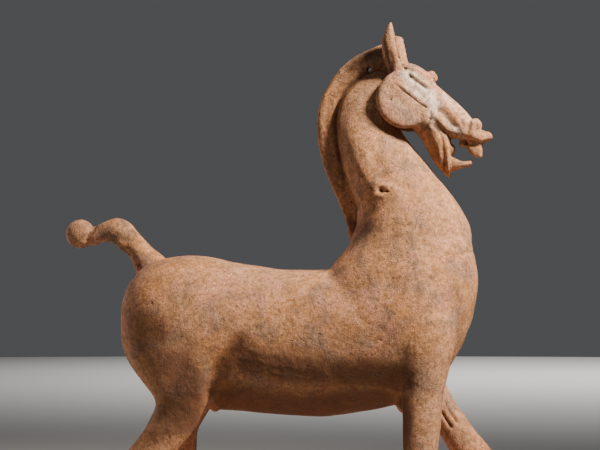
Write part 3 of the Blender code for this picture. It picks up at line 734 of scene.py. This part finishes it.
# The rough places: centre, radii, height.
ROUGH_PATCHES = [
    ((258, 372), (36, 26), 1.0),
    ((320, 384), (60, 14), 0.8),
    ((400, 378), (18, 18), 1.0),
    ((190, 375), (22, 22), 0.5),
    ((175, 425), (30, 22), 0.45),
    ((382, 190), (14, 10), 0.5),
    ((352, 226), (12, 10), 0.4),
    ((300, 340), (90, 16), 0.3),
]
ROUGH_HEIGHT = 0.2
ROUGH_LEAST_ACROSS = 18

# The hooves, by height over the slab in squares: the carved part, and the line and the swelling over it
# as level, width, height.
HOOF_SPAN = (8, 32)
HOOF_LINE = (19.5, 1.6, -1.4)
HOOF_SWELLING = (23.5, 2.2, 0.7)

# Scattered pits (height below 0) and small lumps. A radius is in metres.
SPOT_COUNT = 260
SPOT_SEED = 31
SPOT_RADII = (0.0018, 0.0042)
SPOT_HEIGHTS = [-0.55, -0.4, -0.3, 0.25]
SPOT_FULL_RADIUS = 0.003


def fine_neck(s):
    stroke(s, CHEST_LINE, 2.8, -1.1, ends=(0.4, 0.3))
    for centre, radii, height in NECK_PIT:
        dab(s, centre, radii, height)
    stroke(s, MANE_DRAG, 0.9, -0.6, ends=(0.3, 0.3))


def fine_head(s):
    stroke(s, UPPER_LID, 0.8, -0.7, across=FACE)
    stroke(s, CHEEK_CRACK, 1.6, 0.25, across=CHEEK, ends=(0.08, 0.3))
    stroke(s, CHEEK_CRACK, 0.6, -0.5, across=CHEEK, ends=(0.2, 0.08))
    dab(s, EAR_ROOT, (3.0, 2.6), 3.4, across=MUZZLE)
    stroke(s, CREASE_TOP, 1.6, -0.6, across=FACE)
    stroke(s, NOSTRIL_RIM, 1.0, 0.8, across=MUZZLE)
    stroke(s, NOSTRIL_BACK, 1.5, -0.7, across=MUZZLE)
    stroke(s, NOSE_GROOVE, 1.2, -0.5, across=FACE)
    for x, z, height in LOWER_TOOTH_GAPS:
        dab(s, (x, z), (1.1, 1.5), height)
    for centre in UPPER_TOOTH_GAPS:
        dab(s, centre, (0.7, 1.6), -0.8)


def fine_ears(s):
    stroke(s, EAR_BACK_LINE, 0.9, -0.4, across=EAR_SIDE)
    stroke(s, EAR_SLOT, 1.1, -3.6, across=EAR_FRONT, ends=(0.15, 0.05))
    stroke(s, EAR_EDGE, 1.0, 0.6, across=EAR_SIDE)
    dab(s, EAR_SLOT_FOOT, (1.2, 3.0), -1.6, across=EAR_MIDDLE)


def fine_body(s):
    """Faint upright drags over the thigh and the rump, and the pit in the tail."""
    for k in range(5):
        x = 178 + 7 * k
        drag = [(x, 318 + 5 * (k % 2)), (x + 2, 345), (x - 6, 372)]
        stroke(s, drag, 1.4, -0.16, across=BODY_SIDE, ends=(0.4, 0.4))
    for k in range(4):
        x = 150 + 9 * k
        drag = [(x, 300 + 6 * (k % 2)), (x + 3, 325), (x + 1, 350)]
        stroke(s, drag, 1.6, -0.14, across=BODY_SIDE, ends=(0.4, 0.4))
    dab(s, TAIL_PIT, (1.1, 1.0), -1.0)


def rough_patches(s):
    """Lumps and drags in the clay: on the flank, under the belly and round the tops of the forelegs."""
    amount = np.zeros(len(s.points))
    for centre, radii, height in ROUGH_PATCHES:
        reach = np.hypot(*((s.drawn - np.array(centre)) / np.array(radii)).T)
        amount += height * np.exp(-reach ** 2)
    amount *= (s.across > ROUGH_LEAST_ACROSS) * np.clip(s.facing / 0.2, 0, 1)
    s.push(np.arange(len(amount)), ROUGH_HEIGHT * amount * uneven(s.points, PATCH_LAYERS))


def fine_far_foreleg(s):
    """The finger grooves on the inner side of the stepping foreleg."""
    seen = drawing_of(s.points)
    facing = s.normals @ np.array(VIEW_BACK)
    for line in FINGER_GROOVES:
        line = np.array(smooth_through(line, 4))
        where = np.flatnonzero(s.left & (facing > 0.1) & (s.across > 20)
                               & (seen[:, 0] > 430) & (seen[:, 1] > 370))
        distance, _, along = near_line(seen[where], line)
        fade = np.clip(along / 0.2, 0, 1) * np.clip((1 - along) / 0.2, 0, 1)
        s.push(where, -2.4 * fade * np.exp(-(distance / 1.6) ** 2))


def fine_hooves(s):
    """A shallow line over each hoof and a slight swelling over it."""
    level = (s.points[:, 2] - SLAB_THICKNESS) / SQUARE
    where = np.flatnonzero((level > HOOF_SPAN[0]) & (level < HOOF_SPAN[1]))
    s.push(where, sum(height * np.exp(-((level[where] - middle) / width) ** 2)
                      for middle, width, height in (HOOF_LINE, HOOF_SWELLING)))


def weathering(s):
    """Hand-built unevenness all over, and scattered pits, chips and small lumps."""
    s.push(np.arange(len(s.points)), uneven(s.points, CLAY_LAYERS))
    chance = np.random.default_rng(SPOT_SEED)
    picked = chance.integers(0, len(s.points), SPOT_COUNT)
    for k in picked:
        radius = chance.uniform(*SPOT_RADII)
        height = chance.choice(SPOT_HEIGHTS) * radius / SPOT_FULL_RADIUS
        offset = s.points - s.points[k]
        near = np.flatnonzero(np.abs(offset).max(axis=1) < 2.5 * radius)
        reach = np.linalg.norm(offset[near], axis=1) / radius
        s.push(near, height * np.exp(-reach ** 3))


def add_relief(made):
    s = carve(made)
    for step in (fine_neck, fine_head, fine_ears, fine_body, fine_far_foreleg, fine_hooves):
        step(s)
    s.refresh()
    rough_patches(s)
    weathering(s)
    s.refresh()


def smoothing_rounds(blend, voxel):
    return round((blend / voxel) ** 2)


def mane_plate():
    """The mane with its tie hole."""
    mane = loft("mane", MANE, squareness=3.5)
    bpy.ops.mesh.primitive_cylinder_add(
        vertices=32,
        radius=TIE_HOLE_DIAMETER / 2,
        depth=6 * MANE[-1][4] * SQUARE,
        location=place(*TIE_HOLE_CENTRE),
        rotation=(math.radians(90), 0, 0),
    )
    cut(mane, [bpy.context.object])
    return mane


def reduce_to(made, triangles):
    made.data.calc_loop_triangles()
    decimate = made.modifiers.new("decimate", "DECIMATE")
    decimate.ratio = triangles / len(made.data.loop_triangles)
    decimate.use_collapse_triangulate = True
    return apply_modifiers(made)


# The slab's wear in metres: how far its top and its edges stand back, and how wide the worn edge is.
SLAB_TOP_WEAR = 0.0009
SLAB_EDGE_WEAR = 0.0014
SLAB_EDGE_BAND = 0.012
SLAB_EDGE_FADE = 0.01


def clay_slab():
    """The low slab: hand-flattened clay with worn edges."""
    soles = [ribs[-1] for ribs in (HIND_BACK, HIND_FORWARD, FORE_STRAIGHT, FORE_STEPPING)]
    reach = max(max(abs(sole[0]), abs(sole[2])) for sole in soles) * SQUARE_X + SLAB_MARGIN
    spread = max(sole[4] + sole[5] for sole in soles) * SQUARE + SLAB_MARGIN
    shape = bmesh.new()
    bmesh.ops.create_cube(shape, size=1.0)
    bmesh.ops.scale(shape, vec=(2 * reach, 2 * spread, SLAB_THICKNESS), verts=shape.verts)
    bmesh.ops.translate(shape, vec=(0, 0, SLAB_THICKNESS / 2), verts=shape.verts)
    made = to_object("slab", shape)
    remesh = made.modifiers.new("remesh", "REMESH")
    remesh.mode = "VOXEL"
    remesh.voxel_size = SLAB_VOXEL
    smooth = made.modifiers.new("smooth", "SMOOTH")
    smooth.iterations = SLAB_SMOOTHING
    apply_modifiers(made)
    points = read_vectors(made.data.vertices, "co")
    top = np.clip((points[:, 2] - 0.3 * SLAB_THICKNESS) / (0.4 * SLAB_THICKNESS), 0, 1)
    rise = uneven(points, SLAB_TOP_LAYERS) - SLAB_TOP_WEAR
    points[:, 2] = np.clip(points[:, 2] + top * rise, 0, SLAB_THICKNESS)
    wear = uneven(points, SLAB_EDGE_LAYERS) - SLAB_EDGE_WEAR
    for axis, half in ((0, reach), (1, spread)):
        edge = np.clip((np.abs(points[:, axis]) - half + SLAB_EDGE_BAND) / SLAB_EDGE_FADE, 0, 1)
        points[:, axis] += np.sign(points[:, axis]) * edge * wear
    made.data.vertices.foreach_set("co", points.astype(np.float32).ravel())
    made.data.update()
    return reduce_to(made, SLAB_TRIANGLES)


BOX_CLEARANCE = 1e-5


def keep_inside(made, box):
    """Holds the points inside the box of the plain solid."""
    points = read_vectors(made.data.vertices, "co")
    points = np.clip(points, np.array(box[0]) + BOX_CLEARANCE, np.array(box[1]) - BOX_CLEARANCE)
    made.data.vertices.foreach_set("co", points.astype(np.float32).ravel())
    made.data.update()


def build_horse(box):
    body = fuse("body", list(body_forms()), BODY_VOXEL, smoothing_rounds(BODY_BLEND, BODY_VOXEL))
    cut(body, [throat_gouge(RIGHT), throat_gouge(LEFT)])
    rounds = smoothing_rounds(WHOLE_BLEND, WHOLE_VOXEL)
    horse = fuse("visible_horse", [body, *fine_forms()], WHOLE_VOXEL, rounds)
    add_relief(horse)
    reduce_to(horse, VISIBLE_TRIANGLES)
    base = clay_slab()
    union = horse.modifiers.new("slab", "BOOLEAN")
    union.operation = "UNION"
    union.object = base
    apply_modifiers(horse)
    bpy.data.objects.remove(base, do_unlink=True)
    keep_inside(horse, box)
    for polygon in horse.data.polygons:
        polygon.use_smooth = True
    return horse


def concave(mesh):
    """How hollow the surface is at each point, about -1 to 1, evened out over its neighbours."""
    points = read_vectors(mesh.vertices, "co")
    normals = read_vectors(mesh.vertex_normals, "vector")
    edges = np.empty(len(mesh.edges) * 2, np.int32)
    mesh.edges.foreach_get("vertices", edges)
    first, second = edges.reshape(-1, 2).T
    count = np.bincount(first, minlength=len(points)) + np.bincount(second, minlength=len(points))

    def around(values):
        total = np.bincount(first, values[second], len(points))
        total = total + np.bincount(second, values[first], len(points))
        return total / np.maximum(count, 1)

    middle = np.stack([around(points[:, k]) for k in range(3)], axis=1)
    length = around(np.linalg.norm(points - middle, axis=1)) + 0.0012
    hollow = ((middle - points) * normals).sum(axis=1) / length
    for _ in range(3):
        hollow = 0.5 * (hollow + around(hollow))
    return np.clip(hollow * 3.0, -1, 1)


def bands(s, marks):
    """A mask from marks on the drawing, strongest where they lie."""
    total = np.zeros(len(s.points))
    turned = np.clip(0.5 + 2 * s.facing, 0, 1)
    for line, width, strength, least in marks:
        if len(line) == 1:
            x, z = line[0]
            line = [(x, z), (x + 0.1, z)]
        distance, _, _ = near_line(s.drawn, line)
        part = strength * np.exp(-(distance / width) ** 2) * (s.across > least) * turned
        total = np.maximum(total, part)
    return total


# Marks on the drawing, mirrored on the left side: a line or one spot, its width, its strength and how
# far from the middle plane it begins. White slip is left on the face. The dark marks are partly soot and
# earth and partly painted shade: they darken the lower flank, the belly, the thigh and the grooves, and
# lay a painted shadow behind the cheek disc. Redder clay shows on the rump, flank, mane, neck and cheek;
# on the rump's left edge the pink is a painted tint of the light from behind.
SLIP_MARKS = [
    ([(409, 74), (418, 85), (428, 95), (437, 104)], 6.5, 1.3, 5),
    ([(412, 84), (424, 96)], 6.5, 1.0, 5),
    ([(432, 110), (433, 118)], 3.6, 0.9, 5),
    ([(435, 80)], 2.6, 1.0, 5),
    ([(440, 110), (452, 124), (462, 134)], 3.5, 0.45, 5),
    ([(398, 104), (404, 112), (412, 116)], 7.0, 0.22, 14),
    ([(386, 92), (390, 100)], 6.0, 0.16, 14),
    ([(445, 96), (458, 108), (470, 120)], 5.0, 0.35, 3),
]
STAIN_AND_SHADE_MARKS = [
    # Partly soot and earth, partly painted shadow of the head and ears on the mane.
    ([(352, 68), (360, 60), (370, 55), (378, 52)], 6.0, 0.75, 0),
    ([(362, 74), (370, 68), (380, 66)], 5.0, 0.55, 0),
    # Partly earth, partly painted shade in the hollow at the root of the ear.
    ([(391, 50), (392.5, 62), (392, 68)], 3.6, 0.7, 8),
    # Painted shade in the ear's slot, and next on the back half of the ear.
    ([(396, 38), (398.3, 47), (400.3, 56.5)], 1.3, 1.6, 3),
    ([(385.5, 38), (387, 48), (389, 60)], 3.6, 0.75, 8),
    # Painted shade on the rounded rear edge of the jaw, and next in the mane's crease.
    ([(431, 132), (436, 150), (444, 166)], 5.0, 0.42, 3),
    ([(337, 118), (338, 140), (342, 160)], 5.0, 0.5, 0),
    ([(330, 140), (331, 165)], 4.0, 0.3, 0),
    ([(348, 222), (356, 228), (370, 226)], 9.0, 0.6, 0),
    ([(360, 235)], 12.0, 0.35, 0),
    # Painted shadow in the gap behind and below the cheek disc.
    ([(372, 112), (377, 122), (386, 131)], 4.5, 0.5, 0),
    ([(352, 150), (358, 190)], 9.0, 0.25, 10),
    # This line and the seven after it: partly earth stain, partly painted shade on the thigh, its fold, the
    # hock, the lower flank, the belly, the elbow and the rear of the near foreleg.
    ([(152, 332), (162, 352), (174, 378)], 22.0, 0.75, 16),
    ([(178, 366), (190, 388), (182, 412)], 24.0, 1.25, 16),
    ([(140, 445), (165, 432), (185, 420)], 14.0, 0.6, 10),
    ([(238, 338), (226, 362), (212, 392)], 11.0, 0.9, 12),
    ([(246, 360), (300, 370), (360, 374), (402, 376)], 19.0, 1.0, 6),
    ([(228, 398), (300, 408), (380, 402)], 20.0, 1.1, 0),
    ([(402, 372), (412, 384)], 9.0, 0.9, 16),
    ([(402, 400), (404, 430), (403, 455)], 9.0, 0.95, 16),
    ([(216, 300), (232, 318)], 10.0, 0.3, 16),
    ([(300, 318), (350, 330)], 22.0, 0.18, 16),
]
PINK_AND_RIM_LIGHT_MARKS = [
    # Painted tint of the light from behind, on the rump's left edge.
    ([(130, 285), (128, 330)], 12.0, 0.5, 0),
    ([(392, 98), (388, 112), (404, 121)], 9.0, 0.8, 14),
    ([(429, 76), (434, 76)], 3.6, 0.9, 5),
    ([(330, 130), (326, 160), (336, 190)], 6.0, 0.5, 0),
    ([(210, 285), (250, 300)], 20.0, 0.35, 14),
    ([(300, 300), (380, 320)], 24.0, 0.3, 14),
    ([(458, 180), (472, 260)], 14.0, 0.3, 0),
]


def paint_masks(made):
    """Where the slip, the stains with their painted shade, the redder clay with its painted rim-light tint,
    and the hollows are, as numbers on the mesh's points.
    """
    s = Surface(made)
    masks = {
        "slip": bands(s, SLIP_MARKS),
        "stain_and_shade": bands(s, STAIN_AND_SHADE_MARKS),
        "pink_and_rim_light": bands(s, PINK_AND_RIM_LIGHT_MARKS),
        "hollow": concave(made.data),
    }
    for name, values in masks.items():
        layer = made.data.attributes.new(name, "FLOAT", "POINT")
        layer.data.foreach_set("value", values.astype(np.float32))


class Nodes:
    """Short calls for a material's nodes."""

    def __init__(self, name):
        self.material = bpy.data.materials.new(name)
        self.material.use_nodes = True
        self.tree = self.material.node_tree
        self.shader = self.tree.nodes["Principled BSDF"]
        self.place = self.tree.nodes.new("ShaderNodeTexCoord").outputs["Object"]

    def join(self, source, target):
        if isinstance(source, bpy.types.NodeSocket):
            self.tree.links.new(source, target)
        else:
            target.default_value = source

    def noise(self, scale, detail=4.0, roughness=0.55, distortion=0.0, place=None):
        node = self.tree.nodes.new("ShaderNodeTexNoise")
        self.join(place or self.place, node.inputs["Vector"])
        node.inputs["Scale"].default_value = scale
        node.inputs["Detail"].default_value = detail
        node.inputs["Roughness"].default_value = roughness
        node.inputs["Distortion"].default_value = distortion
        return node.outputs["Fac"]

    def stretched(self, scale, turn=(0, 0, 0)):
        node = self.tree.nodes.new("ShaderNodeMapping")
        self.join(self.place, node.inputs["Vector"])
        node.inputs["Scale"].default_value = scale
        node.inputs["Rotation"].default_value = turn
        return node.outputs["Vector"]

    def cells(self, scale, randomness=1.0):
        node = self.tree.nodes.new("ShaderNodeTexVoronoi")
        self.join(self.place, node.inputs["Vector"])
        node.inputs["Scale"].default_value = scale
        node.inputs["Randomness"].default_value = randomness
        return node.outputs["Distance"]

    def hairs(self, scale, breaks):
        """Thin, winding, broken lines."""
        line = self.math("ABSOLUTE", self.math("SUBTRACT", self.noise(scale, 3.0, 0.5, 0.8), 0.5))
        shown = self.between(self.noise(breaks, 2.0), 0.52, 0.60)
        return self.times(self.between(line, 0.012, 0.004), shown)

    def mask(self, name):
        node = self.tree.nodes.new("ShaderNodeAttribute")
        node.attribute_name = name
        return node.outputs["Fac"]

    def math(self, operation, first, second=0.0):
        node = self.tree.nodes.new("ShaderNodeMath")
        node.operation = operation
        self.join(first, node.inputs[0])
        self.join(second, node.inputs[1])
        return node.outputs[0]

    def times(self, first, second):
        return self.math("MULTIPLY", first, second)

    def between(self, value, low, high, to_low=0.0, to_high=1.0):
        node = self.tree.nodes.new("ShaderNodeMapRange")
        node.interpolation_type = "SMOOTHSTEP"
        self.join(value, node.inputs["Value"])
        node.inputs["From Min"].default_value = low
        node.inputs["From Max"].default_value = high
        node.inputs["To Min"].default_value = to_low
        node.inputs["To Max"].default_value = to_high
        return node.outputs["Result"]

    def mix(self, amount, first, second, blend="MIX"):
        node = self.tree.nodes.new("ShaderNodeMix")
        node.data_type = "RGBA"
        node.blend_type = blend
        self.join(amount, node.inputs["Factor"])
        self.join(first, node.inputs[6])
        self.join(second, node.inputs[7])
        return node.outputs[2]

    def coat(self, under, where, cover, over):
        """Lays one colour over another where a mask says, up to the given share."""
        return self.mix(self.times(where, cover), under, over)

    def bump(self, height, strength, depth, under=None):
        node = self.tree.nodes.new("ShaderNodeBump")
        self.join(height, node.inputs["Height"])
        node.inputs["Strength"].default_value = strength
        node.inputs["Distance"].default_value = depth
        if under is not None:
            self.join(under, node.inputs["Normal"])
        return node.outputs["Normal"]


TAN = (0.54, 0.275, 0.138, 1)
ORANGE = (0.58, 0.255, 0.098, 1)
# Also the colour of the painted tint of the light from behind on the rump's left edge.
ROSE_AND_RIM_LIGHT = (0.49, 0.205, 0.128, 1)
GREY = (0.29, 0.185, 0.132, 1)
SLIP = (0.88, 0.68, 0.52, 1)
# Also the colour of the painted shade in the hollows.
SOOT_AND_SHADE = (0.045, 0.018, 0.010, 1)
# Also the colour of the painted shade in the stains on the lower body, in grooves and behind the cheek disc.
EARTH_AND_SHADE = (0.11, 0.042, 0.020, 1)


DARKENED = (0.42, 0.40, 0.38, 1)
LIGHTENED = (1.16, 1.16, 1.16, 1)
WHITE = (1, 1, 1, 1)

# The largest share of the clay's colour that each coat takes.
GREY_COVER = 0.70
ROSE_COVER = 0.55
DUST_COVER = 0.26
SLIP_COVER = 0.92
# The stain coat is partly painted shade, and the hollow coat is painted shade.
STAIN_AND_SHADE_COVER = 0.88
HOLLOW_SHADE_COVER = 0.80
WORN_COVER = 0.35
FLECK_COVER = 0.80
THICK_HAIR_COVER = 0.70
THIN_HAIR_COVER = 0.60
SPECK_COVER = 0.45
SCRATCH_COVER = 0.45
CLAY_SPECULAR = 0.28


def clay_material():
    """Unglazed, worn earthenware: mottled tan and orange, white slip left on the face, soot and earth;
    painted shade darkens the hollows and, with the earth, the lower body.
    """
    n = Nodes("worn_fired_clay")
    large = n.noise(4.5, 5.0, 0.6, 0.4)
    patches = n.noise(15.0, 6.0, 0.62, 0.6)
    blotches = n.noise(38.0, 6.0, 0.6, 0.5)
    mottle = n.noise(120.0, 6.0, 0.65)
    grain = n.noise(420.0, 3.0, 0.6)

    # The bare clay.
    colour = n.mix(n.between(large, 0.35, 0.65), TAN, ORANGE)
    colour = n.coat(colour, n.between(patches, 0.47, 0.64), GREY_COVER, GREY)
    colour = n.coat(colour, n.between(blotches, 0.50, 0.64), ROSE_COVER, ROSE_AND_RIM_LIGHT)
    # The pink mask also paints the tint of the light from behind on the rump's left edge.
    rose_and_rim_light = n.times(n.mask("pink_and_rim_light"), n.between(blotches, 0.36, 0.58))
    colour = n.mix(rose_and_rim_light, colour, ROSE_AND_RIM_LIGHT)

    # What is left of the white slip, and its dust.
    slip = n.times(n.mask("slip"), n.between(blotches, 0.28, 0.44))
    slip = n.times(slip, n.between(mottle, 0.26, 0.44))
    dusting = n.times(n.between(patches, 0.50, 0.34), n.between(mottle, 0.55, 0.68))
    colour = n.coat(colour, dusting, DUST_COVER, SLIP)
    colour = n.coat(colour, slip, SLIP_COVER, SLIP)

    # Soot and earth in stains, partly painted shade on the lower body, in grooves and behind the cheek disc;
    # painted shade in the hollows; and edges worn back to the clay.
    stain_and_shade = n.math("ADD", n.mask("stain_and_shade"), n.times(n.math("SUBTRACT", blotches, 0.5), 1.5))
    stain_and_shade = n.times(n.between(stain_and_shade, 0.05, 1.05), n.between(mottle, 0.22, 0.55, 0.55, 1.0))
    stain_and_shade = n.times(stain_and_shade, n.between(n.mask("stain_and_shade"), 0.02, 0.25))
    # Partly earth stain, partly painted shade.
    colour = n.coat(colour, stain_and_shade, STAIN_AND_SHADE_COVER, EARTH_AND_SHADE)
    # Painted shade: the hollower the surface, the darker.
    colour = n.coat(colour, n.between(n.mask("hollow"), 0.10, 0.75), HOLLOW_SHADE_COVER, SOOT_AND_SHADE)
    colour = n.coat(colour, n.between(n.mask("hollow"), -0.15, -0.75), WORN_COVER, TAN)

    # Flecks, hairlines, pale specks and scratches.
    flecks = n.between(n.noise(260.0, 2.0, 0.5), 0.63, 0.70)
    flecks = n.times(flecks, n.between(blotches, 0.40, 0.60))
    colour = n.coat(colour, flecks, FLECK_COVER, SOOT_AND_SHADE)
    colour = n.coat(colour, n.hairs(60.0, 105.0), THICK_HAIR_COVER, SOOT_AND_SHADE)
    colour = n.coat(colour, n.hairs(96.0, 170.0), THIN_HAIR_COVER, EARTH_AND_SHADE)
    specks = n.between(n.noise(310.0, 2.0, 0.5), 0.62, 0.70)
    specks = n.times(specks, n.between(patches, 0.58, 0.42))
    specks = n.times(specks, n.between(stain_and_shade, 0.35, 0.05))
    colour = n.coat(colour, specks, SPECK_COVER, SLIP)
    strokes = n.noise(1.0, 5.0, 0.7, 1.2, n.stretched((150, 150, 26), (0.25, 0.1, 0)))
    crossing = n.noise(1.0, 4.0, 0.7, 1.5, n.stretched((40, 190, 190), (0.1, 0.5, 0.3)))
    scratches = n.math("MAXIMUM", n.between(strokes, 0.60, 0.68), n.between(crossing, 0.62, 0.69))
    colour = n.coat(colour, scratches, SCRATCH_COVER, EARTH_AND_SHADE)

    # Lighter and darker spots of three sizes.
    for share, spots, low in ((0.56, mottle, 0.32), (0.42, grain, 0.34), (0.46, blotches, 0.36)):
        shade = n.mix(n.between(spots, low, 0.60), DARKENED, LIGHTENED)
        colour = n.mix(share, colour, shade, "MULTIPLY")
    n.join(colour, n.shader.inputs["Base Color"])
    n.join(n.between(patches, 0.3, 0.7, 0.80, 0.95), n.shader.inputs["Roughness"])
    n.shader.inputs["Specular IOR Level"].default_value = CLAY_SPECULAR

    # The grain of the surface: what is raised, how strongly and how deep in metres.
    pits = n.between(n.cells(150.0), 0.05, 0.30)
    small_pits = n.between(n.cells(340.0), 0.06, 0.26)
    pits = n.mix(n.between(patches, 0.44, 0.56), WHITE, pits)
    normal = None
    for height, strength, depth in (
        (patches, 0.55, 0.006),
        (blotches, 0.60, 0.0035),
        (pits, 0.60, 0.0018),
        (strokes, 0.70, 0.0018),
        (crossing, 0.60, 0.0014),
        (mottle, 0.65, 0.0014),
        (small_pits, 0.45, 0.0008),
        (grain, 0.60, 0.0006),
    ):
        normal = n.bump(height, strength, depth, normal)
    n.join(normal, n.shader.inputs["Normal"])
    return n.material


def plain_material(name, colour, roughness):
    n = Nodes(name)
    n.shader.inputs["Base Color"].default_value = colour
    n.shader.inputs["Roughness"].default_value = roughness
    return n.material


FLOOR_RADIUS = 14.0
FLOOR_SIDES = 96
FLOOR_DROP = 0.0005
FLOOR_COLOUR = (0.50, 0.49, 0.475, 1)
FLOOR_ROUGHNESS = 0.9
SKY_COLOUR = (0.80, 0.82, 0.86, 1)
SKY_STRENGTH = 0.10
SENSOR_WIDTH = 36.0

# Each light: name, place, aim, size, watts, colour and spread in degrees.
LIGHTS = [
    ("key", (1.76, -0.85, 2.50), (0.08, 0, 0.72), 0.6, 33, (1.0, 0.92, 0.83), 70),
    ("rim", (-2.5, 1.2, 1.4), (-0.2, 0, 0.6), 0.8, 28, (1.0, 0.90, 0.90), 180),
    ("fill", (-2.4, -1.7, 2.0), (0, 0, 0.8), 1.2, 4, (1.0, 0.92, 0.84), 180),
    ("floor_behind", (0.5, 9.0, 8.0), (0.5, 9.7, 0), 3.0, 350, (1.0, 0.98, 0.95), 90),
]


def area_light(name, place_at, aim, size, watts, colour, spread):
    light = bpy.data.lights.new(name, "AREA")
    light.shape = "DISK"
    light.size = size
    light.energy = watts
    light.color = colour
    light.spread = math.radians(spread)
    made = bpy.data.objects.new(name, light)
    made.location = place_at
    made.rotation_euler = (Vector(aim) - Vector(place_at)).to_track_quat("-Z", "Y").to_euler()
    bpy.context.scene.collection.objects.link(made)


def add_camera():
    data = bpy.data.cameras.new("camera")
    data.sensor_width = SENSOR_WIDTH
    data.lens = SENSOR_WIDTH * VIEW_DISTANCE / (VIEW_WIDTH * SQUARE)
    camera = bpy.data.objects.new("camera", data)
    at = VIEW_RIGHT * VIEW_TARGET.dot(VIEW_RIGHT) + VIEW_BACK * VIEW_DISTANCE
    at.z = VIEW_HEIGHT
    camera.location = at
    camera.rotation_euler = (VIEW_TARGET - at).to_track_quat("-Z", "Y").to_euler()
    bpy.context.scene.collection.objects.link(camera)
    bpy.context.scene.camera = camera


def add_studio():
    shape = bmesh.new()
    bmesh.ops.create_circle(shape, cap_ends=True, segments=FLOOR_SIDES, radius=FLOOR_RADIUS)
    floor = to_object("floor", shape)
    floor.location.z = -FLOOR_DROP
    floor.data.materials.append(plain_material("pale_floor", FLOOR_COLOUR, FLOOR_ROUGHNESS))
    world = bpy.data.worlds.new("studio")
    world.use_nodes = True
    background = world.node_tree.nodes["Background"]
    background.inputs["Color"].default_value = SKY_COLOUR
    background.inputs["Strength"].default_value = SKY_STRENGTH
    bpy.context.scene.world = world
    for light in LIGHTS:
        area_light(*light)


def main():
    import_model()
    cad_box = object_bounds()
    horse = build_horse(cad_box)
    paint_masks(horse)
    horse.data.materials.clear()
    horse.data.materials.append(clay_material())
    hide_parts("funerary_horse")
    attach(horse, "root")
    add_studio()
    add_camera()


main()
